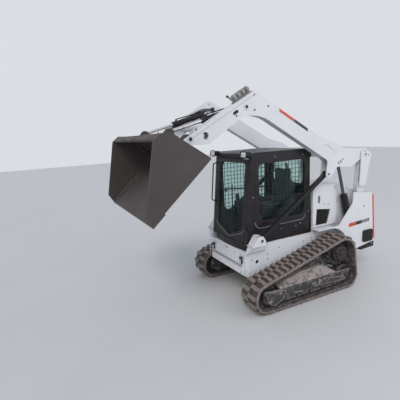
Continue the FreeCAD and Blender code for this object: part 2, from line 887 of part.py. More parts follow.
def front_line(z, inset=0):
    """Where the cab's leaning front is at a height."""
    share = (z - S.sill_z) / (S.cab_top_z - S.sill_z)
    return S.cab_front_y + share * S.cab_lean + inset


CAB_FLOOR = S.sill_z + 18
CAB_HEAD = S.cab_top_z - S.cab_wall
CAB_ROUND = 70
DOOR_LOW, DOOR_HIGH = 816, 1900
CHIN_DROP, CHIN_BOW = 84.7, 8
side_window = [
    (front_line(1080, 175), 1088, 90),
    (S.cab_rear_y - 108, 1077, 90),
    (S.cab_rear_y - 78, 1850, 110),
    (front_line(1835, 95), 1838, 90),
]
REAR_WINDOW = (115 - S.cab_half, S.cab_half - 115, 1480, 1850)


def cab():
    body = new_body("cab_body", "-cab_half")
    outline = [
        (front_line(S.sill_z), S.sill_z + S.gap),
        (S.cab_rear_y, S.sill_z + S.gap),
        (S.cab_rear_y, S.cab_top_z, CAB_ROUND),
        (front_line(S.cab_top_z), S.cab_top_z),
    ]
    inside = [
        (front_line(CAB_FLOOR, S.cab_post), CAB_FLOOR),
        (S.cab_rear_y - S.cab_wall, CAB_FLOOR),
        (S.cab_rear_y - S.cab_wall, CAB_HEAD, CAB_ROUND - S.cab_wall),
        (front_line(CAB_HEAD, S.cab_post), CAB_HEAD),
    ]
    pad(body, SIDE, [loop(outline)], "2 * cab_half")
    pocket(body, SIDE, [loop(inside)], "2 * (cab_half - cab_wall)", "cab_wall")
    pocket(body, SIDE, [loop(side_window)], "2 * cab_half + 20", "-10")
    doorway = rectangle(S.cab_half - S.door_half - S.run, S.cab_half + S.door_half + S.run,
                        DOOR_LOW - S.run, DOOR_HIGH + S.run)
    pocket(body, FRONT, [doorway], "900", "500")
    chin_low = S.sill_z - CHIN_DROP
    chin = [
        (S.cab_half - S.door_half - 30, S.cab_front_y + 34),
        (S.cab_half - 110, S.cab_front_y - CHIN_BOW),
        (S.cab_half + 110, S.cab_front_y - CHIN_BOW),
        (S.cab_half + S.door_half + 30, S.cab_front_y + 34),
        (S.cab_half + S.door_half + 30, S.cab_front_y + 59),
        (S.cab_half - S.door_half - 30, S.cab_front_y + 59),
    ]
    pad(body, PLAN, [loop(chin)], str(CHIN_DROP + 14), str(chin_low))
    x_low, x_high, z_low, z_high = REAR_WINDOW
    rear_glass_hole = rectangle(S.cab_half + x_low, S.cab_half + x_high, z_low, z_high, 60)
    pocket(body, FRONT, [rear_glass_hole], "200", "-cab_rear_y - 150")
    return body


keep(cab(), "cab_frame")


def roof():
    body = new_body("roof_body", "-(cab_half + 4)")
    profile = [
        (front_line(S.cab_top_z, -34), S.cab_top_z + S.gap, 6),
        (S.cab_rear_y + S.gap, S.cab_top_z + S.gap, CAB_ROUND + S.gap),
        (S.cab_rear_y + S.gap, S.cab_top_z - CAB_ROUND - 4, 0),
        (S.cab_rear_y + 20, S.cab_top_z - CAB_ROUND - 4, 8),
        (S.cab_rear_y + 24, S.cab_top_z + S.roof_rise, CAB_ROUND + 30),
        (front_line(S.cab_top_z, 60), S.cab_top_z + S.roof_rise, 60),
        (front_line(S.cab_top_z, -34), S.cab_top_z + 34, 12),
    ]
    pad(body, SIDE, [loop(profile)], "2 * (cab_half + 4)")
    return body


keep(roof(), "cab_roof")


def side_pane():
    body = new_body("side_pane_left", "cab_half - 10 - glass")
    pad(body, SIDE, [loop(inset(side_window, S.gap))], "glass")
    return body


def side_screen(label, side):
    """Guard bars inside a side window: upright ones, then level ones beside them."""
    bars = []
    low_y, high_y = side_window[0][0] - 8, side_window[1][0] + 12
    low_z, high_z = 1065, 1862
    inner = S.cab_half - S.cab_wall - 0.3
    for number in range(14):
        y = low_y + 20 + number * (high_y - low_y - 40) / 13
        x = side * (inner - 4.3) - (5 if side > 0 else 0)
        bars.append(box("%s_upright_%d" % (label, number), (str(x), str(x + 5)),
                        (str(y - 3), str(y + 3)), (str(low_z), str(high_z))))
    for number in range(14):
        z = low_z + 18 + number * (high_z - low_z - 36) / 13
        x = side * inner - (4 if side > 0 else 0)
        bars.append(box("%s_level_%d" % (label, number), (str(x), str(x + 4)),
                        (str(low_y), str(high_y)), (str(z - 3), str(z + 3))))
    return group(label + "_bars", bars)


pair("side_glass", side_pane())
keep(side_screen("side_screen_left", 1), "side_screen_left")
keep(side_screen("side_screen_right", -1), "side_screen_right")


def rear_pane():
    x_low, x_high, z_low, z_high = REAR_WINDOW
    body = new_body("rear_pane_body", "0", "axle_y + cab_rear_y - 12")
    corners = [(x_low, z_low, 60), (x_high, z_low, 60), (x_high, z_high, 60), (x_low, z_high, 60)]
    pad(body, FRONT, [loop(inset(corners, S.gap))], "glass")
    return body


keep(rear_pane(), "rear_glass")

# Front door: in the doorway, hinged at its left edge, its glass ending in a V
HINGE_RADIUS, HINGE_AHEAD = 8, 8.3
DOOR_AXIS_X = S.door_half + 12
HINGE_HEIGHTS = (230, 900)
PANE_TOP = DOOR_HIGH - S.sill_z - 45
PANE_HALF = S.door_half - 56
door_glass_outline = [
    (-PANE_HALF, 185, 60),
    (0, 62, 40),
    (PANE_HALF, 185, 60),
    (PANE_HALF, PANE_TOP, 40),
    (-PANE_HALF, PANE_TOP, 40),
]


def door():
    body = slanted_body("door_body", LEAN, "0", "axle_y + cab_front_y", "sill_z")
    low, high = DOOR_LOW - S.sill_z, DOOR_HIGH - S.sill_z
    leaf = rectangle(-S.door_half, S.door_half, low, high + 2, 35)
    pad(body, FRONT, [leaf, loop(door_glass_outline)], "door_depth", "-door_depth")
    straps = [rectangle(S.door_half - 45, DOOR_AXIS_X - HINGE_RADIUS - S.gap, z - 28, z + 28)
              for z in HINGE_HEIGHTS]
    pad(body, FRONT, straps, "14", "0")
    return body


def door_hinges():
    """Pins on the cab's left post that the door's straps turn about."""
    plates = slanted_body("hinge_plates", LEAN, "0", "axle_y + cab_front_y", "sill_z")
    pins = slanted_body("hinge_pins", LEAN, "0", "axle_y + cab_front_y", "sill_z")
    sides = [rectangle(DOOR_AXIS_X, S.cab_half - 12, z - 34, z + 34, 4) for z in HINGE_HEIGHTS]
    pad(plates, FRONT, sides, "14", "gap")
    for z in HINGE_HEIGHTS:
        pad(pins, PLAN, [circle(DOOR_AXIS_X, -HINGE_AHEAD, HINGE_RADIUS)], "68", str(z - 34))
    return fuse("hinge_body", [plates, pins])


def door_pane():
    body = slanted_body("door_pane_body", LEAN, "0", "axle_y + cab_front_y", "sill_z")
    pad(body, FRONT, [loop(inset(door_glass_outline, S.gap))], "glass", "-door_depth / 2")
    return body


keep(door(), "front_door")
keep(door_pane(), "door_glass")
keep(door_hinges(), "door_hinges")


def work_light():
    body = new_body("work_light_left", "cab_half - 135")
    pad(body, SIDE, [rectangle(front_line(S.cab_top_z, -84), front_line(S.cab_top_z, -34.3),
                               S.cab_top_z - 8, S.cab_top_z + 38, 10)], "105")
    return body


pair("work_lights", work_light())

def from_pin(pin, y, z, radius=0):
    """A corner or hole placed from a pin."""
    return (PINS[pin][0] + y, PINS[pin][1] + z, radius)


# Brackets on the lower body that carry the control links: a thick inner plate with a leg
# to the front corner, a cheek outside the link, and a front plate and a web between them
def control_bracket():
    y, z = PINS["control_base"]
    body = new_body("bracket_left", "body_half + gap")
    top = [(63, -66, 12), (62, -10, 30), (20, 60, 36), (-48, 60, 40)]
    leg = [(-96, -38, 30), (-175, -178, 8), (112, -178, 8)]
    cheek = [(-150, -66, 10)]
    inner = [from_pin("control_base", *corner) for corner in top + leg]
    outer = [from_pin("control_base", *corner) for corner in top + [(-100, 0, 40)] + cheek]
    depth = S.link_inner - S.run - S.body_half - S.gap
    outer_start = S.link_outer + S.run - S.body_half - S.gap
    reach = outer_start + 14
    pad(body, SIDE, [loop(inner)], str(depth))
    pad(body, SIDE, [loop(outer)], "14", str(outer_start))
    front = [(y - 175, z - 178, 0), (y - 110, z - 30, 60), (y - 58, z + 46, 0)]
    pad(body, SIDE, [strip(front[::-1], 10)], str(reach))
    pad(body, SIDE, [rectangle(y - 150, y + 62, z - 66, z - 56)], str(reach))
    slope = [(24, z - 180), (reach + 10, z - 180), (reach + 10, z - 66)]
    pocket(body, FRONT, [loop(slope)], "400", str(-y - 150))
    pad(body, SIDE, [circle(y, z, S.pin_radius)], str(reach + 4))
    pad(body, SIDE, [circle(y, z, S.pin_radius + 14)], "6", str(reach))
    return body


pair("control_brackets", control_bracket())

# Arms: a box section bent at the elbow, open where the links and the rod come in
ARM_OUTLINE = [
    from_pin("hinge", -81, -70, 38),
    from_pin("hinge", -84, -2, 28),
    from_pin("tilt_base", 115, 183, 10),
    from_pin("lift_top", -364, 342, 250),
    from_pin("lift_top", -85, 258, 60),
    from_pin("lift_top", 46, 180, 80),
    from_pin("rear_top", 62, 77, 50),
    from_pin("rear_top", 62, -42, 50),
    from_pin("rear_top", -38, -44, 70),
    from_pin("lift_top", 216, -93, 130),
    from_pin("lift_top", -64, -66, 70),
    from_pin("control_top", 47, -55, 42),
    from_pin("control_top", -50, -55, 42),
    from_pin("control_top", -16, 185, 60),
    from_pin("tilt_base", 77, -27, 450),
    from_pin("hinge", 224, -64, 100),
]
ARM_HOLLOW = [
    from_pin("hinge", -126, -112),
    from_pin("hinge", -126, 108),
    from_pin("hinge", 69, 108),
    from_pin("hinge", 69, 67),
    from_pin("tilt_base", 115, 167, 10),
    from_pin("lift_top", -364, 327, 240),
    from_pin("lift_top", -85, 243, 50),
    from_pin("lift_top", 46, 166, 70),
    from_pin("rear_top", -25, 69),
    from_pin("rear_top", -15, 155),
    from_pin("rear_top", 135, 155),
    from_pin("rear_top", 135, -335),
    from_pin("control_top", -118, -115),
    from_pin("control_top", -118, 175),
    from_pin("control_top", -58, 225),
    from_pin("tilt_base", 77, -11, 440),
    from_pin("hinge", 224, -48, 90),
    from_pin("hinge", 84, -54),
    from_pin("hinge", 84, -112),
]
ARM_HOLES = [
    from_pin("hinge", 184, 28, 36),
    from_pin("tilt_base", 109, 136, 9),
    from_pin("tilt_base", 113, -35, 9),
    from_pin("tilt_base", 308, 4, 9),
    from_pin("tilt_base", -136, -98, 8),
]
ARM_SLOT = [
    from_pin("tilt_base", -171, -97, 17),
    from_pin("tilt_base", -101, -57, 17),
    from_pin("tilt_base", -119, -25, 17),
    from_pin("tilt_base", -189, -65, 17),
]
# A shallow pressed field on the arm's outer side, over the lift cylinder
ARM_FIELD = [
    from_pin("lift_top", -400, 250, 25),
    from_pin("lift_top", -255, 244, 25),
    from_pin("lift_top", -112, 145, 25),
    from_pin("lift_top", -140, 82, 25),
    from_pin("lift_top", -285, 96, 35),
]
FIELD_DEPTH = 4


ARM_NOSE, ARM_ELBOW = ARM_OUTLINE[1], ARM_OUTLINE[2]


def on_top(forward, rise, radius=0):
    """A corner at a distance forward from the elbow, above the top of the arm's front section."""
    elbow = Vector(*ARM_ELBOW[:2], 0)
    along = (Vector(*ARM_NOSE[:2], 0) - elbow).normalize()
    up = Vector(along.y, -along.x, 0)
    spot = elbow + along * forward + up * rise
    return (spot.x, spot.y, radius)


def strip_on_arm():
    """The strip along the top of the arm's front section, as corners."""
    length = math.dist(ARM_NOSE[:2], ARM_ELBOW[:2]) - 75
    return [on_top(length, 0), on_top(0, 0), on_top(0, -36), on_top(length, -36)]


def arm():
    body = new_body("arm_left_body", "arm_inner")
    holes = [circle(y, z, radius) for y, z, radius in ARM_HOLES]
    pad(body, SIDE, [loop(ARM_OUTLINE), loop(ARM_SLOT)] + holes, "arm_outer - arm_inner")
    pocket(body, SIDE, [loop(ARM_HOLLOW)], "arm_outer - arm_inner - 2 * arm_plate", "arm_plate")
    pocket(body, SIDE, [loop(ARM_FIELD)], "100", "arm_outer - arm_inner - %d" % FIELD_DEPTH)
    pad(body, SIDE, [loop(strip_on_arm())], "arm_strip", "arm_outer - arm_inner")
    pins = [circle(*PINS[name], S.pin_radius) for name in ("hinge", "control_top")]
    pad(body, SIDE, pins, "arm_outer - arm_inner")
    rings = [circle(*PINS[name], S.pin_radius + 16) for name in
             ("hinge", "control_top", "lift_top", "tilt_base")]
    pad(body, SIDE, rings, "6", "arm_outer - arm_inner")
    pad(body, SIDE, [circle(*PINS["rear_top"], S.pin_radius)], "link_edge + gap - arm_inner")
    pad(body, SIDE, [circle(*PINS["rear_top"], S.pin_radius + 14)], "7", "link_edge + gap - arm_inner")
    stub = [circle(*PINS["tilt_base"], S.pin_radius)]
    pad(body, SIDE, stub, "arm_inner - tilt_x + 30", "tilt_x - 30 - arm_inner")
    return body


left_arm = keep(arm(), "arm_left")
right_arm = keep(mirror("arm_right_body", left_arm), "arm_right")


def arm_couplers():
    """Four hydraulic couplers in an upright plate on the left arm's top, with their lever."""
    body = new_body("coupler_row", "arm_middle - 30")
    row = [(55 + number * S.coupler_step, 48) for number in range(4)]
    foot = [on_top(18, S.gap), on_top(300, S.gap), on_top(300, 8), on_top(18, 8)]
    upright = [on_top(20, 4), on_top(296, 4), on_top(276, 86, 12), on_top(30, 86, 12)]
    lever = [on_top(284, 30), on_top(298, 30), on_top(326, 96, 6), on_top(306, 100, 6)]
    pad(body, SIDE, [loop(foot)], "60")
    pad(body, SIDE, [loop(upright)], "8", "20")
    pad(body, SIDE, [loop(lever)], "14", "24")
    spots = [on_top(*place_on_arm)[:2] for place_on_arm in row]
    pad(body, SIDE, [circle(*spot, S.coupler_radius) for spot in spots], "28", "6")
    pad(body, SIDE, [circle(*spot, S.coupler_radius - 8) for spot in spots], "52", "4")
    return body


keep(arm_couplers(), "arm_couplers")

# Hoses on an arm's inner side, from a port block at the elbow to one beside the tilt
# cylinder's front end. A route: (y, z) back from the drive axle and up, from the elbow on.
HOSE_ROUTES = [
    [(-1240, 2586), (-1380, 2586), (-1520, 2530), (-1655, 2444), (-1785, 2380), (-1885, 2325)],
    [(-1240, 2564), (-1378, 2564), (-1512, 2511), (-1648, 2424), (-1780, 2360), (-1874.4, 2305.8)],
]
BEND_SHARE = 0.45
HOSE_X = S.arm_inner - S.hose_radius - 1


def hose(name, route):
    """A hose along straight runs joined by tangent arcs; its bends' radii are printed."""
    corners = [Vector(HOSE_X, S.axle_y + y, z) for y, z in route]
    edges, begin, radii = [], corners[0], []
    for before, here, after in zip(corners, corners[1:], corners[2:]):
        back, forth = (before - here), (after - here)
        reach = BEND_SHARE * min(back.Length, forth.Length)
        back.normalize()
        forth.normalize()
        half = back.getAngle(forth) / 2
        radii.append(reach * math.tan(half))
        middle = here + (back + forth).normalize() * (reach / math.cos(half))
        start, end = here + back * reach, here + forth * reach
        edges.append(Part.LineSegment(begin, start).toShape())
        edges.append(Part.Arc(start, middle + (here - middle).normalize() * radii[-1], end).toShape())
        begin = end
    edges.append(Part.LineSegment(begin, corners[-1]).toShape())
    line = doc.addObject("Part::Feature", name + "_line")
    line.Shape = Part.Wire(edges)
    ring = doc.addObject("Part::Feature", name + "_ring")
    ring.Shape = Part.Wire(Part.Circle(corners[0], corners[1] - corners[0], S.hose_radius).toShape())
    tube = doc.addObject("Part::Sweep", name)
    tube.Sections = [ring]
    tube.Spine = (line, [])
    tube.Solid = True
    doc.recompute()
    section = math.pi * S.hose_radius ** 2
    print(name, "radii", [round(radius) for radius in radii],
          "volume", round(tube.Shape.Volume), "of", round(section * line.Shape.Length))
    return tube


def port_block(name, end, depth):
    """A block on the arm whose face lies across the hoses' ends."""
    upper, lower = [Vector(*route[end], 0) for route in HOSE_ROUTES]
    spare = (upper - lower) * 0.9
    away = Vector(-spare.y, spare.x, 0).normalize()
    near = away * math.copysign(S.gap, depth)
    far = away * depth
    corners = [upper + spare + near, lower - spare + near, lower - spare + far, upper + spare + far]
    body = new_body(name, "arm_inner - 2 * hose_radius - 1.4")
    pad(body, SIDE, [loop([(spot.x, spot.y) for spot in corners])], "2 * hose_radius + 1.4 - gap")
    return body


hoses = [hose("arm_hose_%d" % number, route) for number, route in enumerate(HOSE_ROUTES)]
pair("arm_hoses", group("hose_row", hoses))
ports = [port_block("port_block_elbow", 0, -44), port_block("port_block_front", -1, 38)]
pair("port_blocks", group("port_row", ports))

cross = [
    rod_across("cross_front", "tube_radius", ("-arm_inner + gap", "arm_inner - gap"), "-1680", "2325"),
    rod_across("cross_rear", "tube_radius", ("-arm_inner + gap", "arm_inner - gap"), "300", "1850"),
]
keep(group("cross_pair", cross), "cross_tubes")


def turned(name, start, direction):
    """A body whose own up points along a direction in the plane of Y and Z."""
    angle = math.degrees(math.atan2(direction[1], direction[0]))
    y, z = start
    return slanted_body(name, 90 - angle, "0", "axle_y + (%s)" % y, str(z))


def revolve(body, outline):
    feature = body.newObject("PartDesign::Revolution", body.Name + "_turned")
    drawing = sketch(body, SIDE, [outline])
    feature.Profile = drawing
    feature.ReferenceAxis = (drawing, ["V_Axis"])
    feature.Angle = 360
    return feature


def between(first, second):
    a, b = PINS[first], PINS[second]
    return (b[0] - a[0], b[1] - a[1])


def bar_link(name, first, second, depth, eye):
    """A flat link with an eye at each end, bored for its pins."""
    reach = math.hypot(*between(first, second))
    body = turned(name, PINS[first], between(first, second))
    bind(body, "Placement.Base.x", "link_inner")
    width = "link_outer - link_inner"
    bores = [circle(0, 0, S.pin_radius + S.gap), circle(0, reach, S.pin_radius + S.gap)]
    web = rectangle(-depth / 2, depth / 2, eye * 0.8, reach - eye * 0.8)
    pad(body, SIDE, [circle(0, 0, eye)], width)
    pad(body, SIDE, [circle(0, reach, eye)], width)
    pad(body, SIDE, [web], width)
    pocket(body, SIDE, bores, width)
    return body


pair("control_links", bar_link("control_link_left", "control_base", "control_top", 52, 41))


STEP_LOW = -448


def rear_link():
    """A web that turns between the arm's sides, with a plate outside the arm, joined below it."""
    web = new_body("rear_link_web", "link_inner - 8")
    outline = [(-52, 50, 48), (-86, -250, 200), (-106, STEP_LOW, 120)]
    foot = [(-44, -42, 40), (44, -42, 40)]
    behind = [(22, STEP_LOW, 120), (50, -200, 200), (52, 50, 48)]
    corners = [from_pin("rear_top", *corner) for corner in outline]
    corners += [from_pin("rear_base", *corner) for corner in foot]
    corners += [from_pin("rear_top", *corner) for corner in behind]
    bore = circle(*PINS["rear_top"], S.pin_radius + S.gap)
    pad(web, SIDE, [loop(corners), bore], "link_outer - link_inner + 16")
    plate = new_body("rear_link_plate", "link_face")
    side = [(-82, 40, 24), (-50, 68, 20), (14, 68, 24), (112, 8, 30), (124, -28, 24),
            (22, STEP_LOW, 12), (-106, STEP_LOW, 12), (-92, -250, 200)]
    pad(plate, SIDE, [loop([from_pin("rear_top", *corner) for corner in side]), bore], "link_plate")
    step = new_body("rear_link_step", "link_outer + 7")
    block = [(-88, STEP_LOW + 9, 8), (8, STEP_LOW + 9, 8), (14, STEP_LOW + 60, 8), (-84, STEP_LOW + 60, 8)]
    pad(step, SIDE, [loop([from_pin("rear_top", *corner) for corner in block])], "link_face - link_outer - 6")
    return fuse("rear_link_left", [web, plate, step])


pair("rear_links", rear_link())


def barrel(name, base, top, outer, rod, length, middle, eye):
    """A cylinder barrel with its base eye, bored for the rod."""
    body = turned(name, PINS[base], between(base, top))
    bind(body, "Placement.Base.x", middle)
    low, high = eye + 6, eye + 36
    tube = [(rod + S.gap, high), (outer, high), (outer, length), (rod + S.gap, length)]
    cap = [(0, low), (outer, low), (outer, high + 0.5), (0, high + 0.5)]
    neck = [(0, eye * 0.7), (eye * 0.7, eye * 0.7), (eye * 0.7, low + 1), (0, low + 1)]
    revolve(body, loop(tube))
    revolve(body, loop(cap))
    revolve(body, loop(neck))
    gland = [(rod + S.gap, length - 45), (outer + 4, length - 45), (outer + 4, length - 2),
             (rod + S.gap, length - 2)]
    revolve(body, loop(gland))
    pad(body, SIDE, [circle(0, 0, eye)], "2 * eye_half", "-eye_half")
    pocket(body, SIDE, [circle(0, 0, S.pin_radius + S.gap)], "60", "-30")
    return body


def rod(name, base, top, radius, length, middle, eye):
    """A rod with its eye at the top pin, reaching back into the barrel."""
    body = turned(name, PINS[top], between(top, base))
    bind(body, "Placement.Base.x", middle)
    revolve(body, loop([(0, eye * 0.7), (radius, eye * 0.7), (radius, length), (0, length)]))
    pad(body, SIDE, [circle(0, 0, eye)], "2 * eye_half", "-eye_half")
    pocket(body, SIDE, [circle(0, 0, S.pin_radius + S.gap)], "60", "-30")
    return body


pair("lift_barrels", barrel("lift_barrel_left", "lift_base", "lift_top", S.lift_barrel - 4, S.lift_rod,
                            655, "arm_middle", 38))
pair("lift_rods", rod("lift_rod_left", "lift_base", "lift_top", S.lift_rod, 706, "arm_middle", 36))
pair("tilt_barrels", barrel("tilt_barrel_left", "tilt_base", "tilt_eye", S.tilt_barrel - 4, S.tilt_rod,
                            515, "tilt_x", 34))
pair("tilt_rods", rod("tilt_rod_left", "tilt_base", "tilt_eye", S.tilt_rod, 498, "tilt_x", 30))


def lift_mount():
    """Pin and ear that carry the lift cylinder's base in the tail."""
    y, z = PINS["lift_base"]
    body = new_body("lift_mount_left", "body_half + gap")
    pad(body, SIDE, [circle(y, z, S.pin_radius + 5)], "link_inner - body_half - 2 * gap")
    pad(body, SIDE, [circle(y, z, S.pin_radius)], "tail_outer - plate - body_half - 2 * gap")
    return body


pair("lift_mounts", lift_mount())

# Bucket and coupler, drawn level about their hinge
BACK_LOW, BACK_HIGH = Vector(-54, -223, 0), Vector(-190, 267, 0)
BACK_ALONG = (BACK_HIGH - BACK_LOW).normalize()
BACK_OUT = Vector(BACK_ALONG.y, -BACK_ALONG.x, 0)
bucket_floor = -224
bucket_tip = -977
LIP_STEPS = 9


def bucket_body(name, across):
    y, z = PINS["hinge"]
    return slanted_body(name, -S.bucket_dump, across, "axle_y + (%s)" % y, str(z))


def bucket():
    body = bucket_body("bucket_body", "-(bucket_half - bucket_side)")
    heel = BACK_LOW.x + BACK_ALONG.x * (bucket_floor - BACK_LOW.y) / BACK_ALONG.y
    shell = [(bucket_tip + 20, bucket_floor, 0), (heel, bucket_floor, 55),
             (BACK_HIGH.x, BACK_HIGH.y, 60), (-275, 334, 0)]
    pad(body, SIDE, [strip(shell, S.bucket_shell)], "2 * (bucket_half - bucket_side)")
    lip = [(-271, 331, 0), (-266, 337, 3), (-352, 341, 12),
           (-358, 312, 12), (-300, 296, 20), (-262, 316, 0)]
    pad(body, SIDE, [loop(lip)], "2 * (bucket_half - bucket_side)")
    steps = []
    for number in range(LIP_STEPS):
        x = S.bucket_half - S.bucket_side + (number - (LIP_STEPS - 1) / 2) * 92
        steps.append(loop([(x - 26, -375), (x + 8, -375), (x + 26, -334), (x - 8, -334)]))
    pocket(body, PLAN, steps, "80", "280")
    return body


keep(bucket(), "bucket_shell")


def bucket_side():
    body = bucket_body("bucket_side_left", "bucket_half - bucket_side + gap")
    outline = [(bucket_tip, bucket_floor, 0), (bucket_tip + 22, -105, 12), (-373, 346, 30),
               (-265, 341, 20), (-184, 262, 40), (-56, bucket_floor, 18)]
    pad(body, SIDE, [loop(outline)], "bucket_side - gap")
    return body


pair("bucket_sides", bucket_side())


def cutting_edge():
    body = bucket_body("edge_body", "-bucket_half")
    outline = [(bucket_tip - 8, bucket_floor - 14), (-800, bucket_floor - 14), (-800, bucket_floor - S.gap),
               (bucket_tip + 14, bucket_floor - S.gap)]
    pad(body, SIDE, [loop(outline)], "2 * bucket_half")
    return body


keep(cutting_edge(), "cutting_edge")

tilt_local = (-56.5, 173.3)


def on_back(distance, out):
    """A point along the bucket's back and out from it."""
    spot = BACK_LOW + BACK_ALONG * distance + BACK_OUT * out
    return (spot.x, spot.y)


def coupler():
    """Two plates on the bucket's back with lugs for the arm and the tilt rods, and a cross tube."""
    pieces = []
    near, far = S.tilt_x - 87, S.link_outer + 17
    for name, side in (("left", 1), ("right", -1)):
        plate_body = bucket_body("coupler_plate_" + name, str(near if side > 0 else -far))
        face = [on_back(80, S.gap), on_back(450, S.gap), on_back(450, 14), on_back(80, 14)]
        pad(plate_body, SIDE, [loop(face)], str(far - near))
        lug_start = S.link_inner if side > 0 else -S.link_outer
        lug = bucket_body("coupler_lug_" + name, str(lug_start))
        lug_line = [on_back(135, 10) + (0,), on_back(300, 10) + (0,), on_back(262, 150) + (46,),
                    on_back(158, 150) + (46,)]
        pad(lug, SIDE, [loop(lug_line), circle(0, 0, S.pin_radius + S.gap)], "link_outer - link_inner")
        pieces += [plate_body, lug]
        for shift in (-36, 24):
            ear = bucket_body("coupler_ear_%s_%d" % (name, shift + 40), str(side * S.tilt_x + shift))
            ear_line = [on_back(300, 10) + (0,), on_back(445, 10) + (0,), on_back(425, 128) + (28,),
                        on_back(360, 132) + (28,)]
            pad(ear, SIDE, [loop(ear_line)], "12")
            pieces.append(ear)
    tube = bucket_body("coupler_tube", str(-near - 0.5))
    spot = on_back(405, 42)
    pad(tube, SIDE, [circle(spot[0], spot[1], 30)], str(2 * near + 1))
    pieces.append(tube)
    return fuse("coupler_body", pieces)


keep(coupler(), "quick_coupler")

# Inside the cab
CONSOLE = 90
CONSOLE_INNER = S.cab_half - S.cab_wall - 77 - CONSOLE
SEAT_HALF = CONSOLE_INNER - 20
SEAT_TOP, CONSOLE_TOP = 1080, 1235
keep(box("seat_box", (str(-SEAT_HALF), str(SEAT_HALF)), ("-820", "-420"),
         ("sill_z + 18 + gap", str(SEAT_TOP))), "seat_base")


def cushion(label, profile, width):
    body = new_body(label + "_body", str(-width / 2))
    pad(body, SIDE, [loop(profile)], str(width))
    return keep(body, label)


cushion("seat_cushion", [(-900, SEAT_TOP + 0.3, 30), (-405, SEAT_TOP + 0.3, 20), (-405, 1180, 35),
                         (-900, 1200, 45)], 2 * SEAT_HALF + 10)
cushion("seat_back", [(-404.7, 1105, 20), (-330, 1105, 20), (-305, 1690, 40), (-400, 1690, 40)],
        2 * SEAT_HALF - 10)


def console(name, x):
    return box("console_" + name, (str(x), str(x + CONSOLE)), ("-1000", "-520"),
               ("sill_z + 18 + gap", str(CONSOLE_TOP)))


keep(group("console_pair", [console("left", CONSOLE_INNER), console("right", -CONSOLE_INNER - CONSOLE)]),
     "side_consoles")


def joystick(name, x):
    body = new_body("stick_" + name, str(x))
    foot = CONSOLE_TOP + S.gap
    pad(body, SIDE, [loop([(-985, foot, 4), (-945, foot, 4), (-950, 1340, 14), (-990, 1350, 14)])], "36")
    return body


keep(group("stick_pair", [joystick("left", CONSOLE_INNER + 27), joystick("right", -CONSOLE_INNER - 63)]),
     "joysticks")

doc.recompute()

failed = [item.Label for item in doc.Objects if "Invalid" in item.State or "Error" in item.State]
empty = [item.Label for item in NODES if item.Shape.isNull() or not item.Shape.isValid()]
if failed or empty:
    raise SystemExit("failed: %s; empty or invalid: %s" % (failed, empty))

os.makedirs("parts", exist_ok=True)
for item in NODES:
    item.Shape.exportStep("parts/%s.step" % item.Label)
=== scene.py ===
import json
import math
import random

import bmesh
import bpy
from mathutils import Matrix, Vector, noise


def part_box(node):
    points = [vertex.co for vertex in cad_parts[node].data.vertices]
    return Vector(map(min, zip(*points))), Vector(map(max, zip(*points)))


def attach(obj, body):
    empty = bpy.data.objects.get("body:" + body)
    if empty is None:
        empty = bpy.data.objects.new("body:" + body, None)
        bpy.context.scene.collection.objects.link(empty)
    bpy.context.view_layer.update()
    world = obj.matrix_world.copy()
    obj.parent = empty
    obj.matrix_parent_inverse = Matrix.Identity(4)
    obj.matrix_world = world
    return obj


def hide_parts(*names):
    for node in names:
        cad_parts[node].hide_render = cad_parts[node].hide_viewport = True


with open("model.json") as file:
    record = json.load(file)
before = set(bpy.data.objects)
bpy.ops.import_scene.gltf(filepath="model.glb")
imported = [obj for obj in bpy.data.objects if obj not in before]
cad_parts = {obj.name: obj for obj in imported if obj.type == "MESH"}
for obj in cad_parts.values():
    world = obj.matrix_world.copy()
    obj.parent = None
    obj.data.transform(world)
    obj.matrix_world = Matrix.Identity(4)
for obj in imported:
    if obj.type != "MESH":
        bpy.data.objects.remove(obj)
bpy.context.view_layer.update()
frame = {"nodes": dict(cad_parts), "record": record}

AXLE = 0.915
random.seed(7)


SIDES = ((1, "left"), (-1, "right"))


def spot(x, y, z):
    """A place in mm: across, behind the drive axle and above the ground, as a row point."""
    return Vector((x / 1000, y / 1000 + AXLE, z / 1000))


def placed(name, data):
    """A new object with this data, in the scene."""
    thing = bpy.data.objects.new(name, data)
    bpy.context.scene.collection.objects.link(thing)
    return thing


def smooth_faces(data):
    for face in data.polygons:
        face.use_smooth = True


def both_sides(make):
    for side, word in SIDES:
        make(side, word)


# Materials


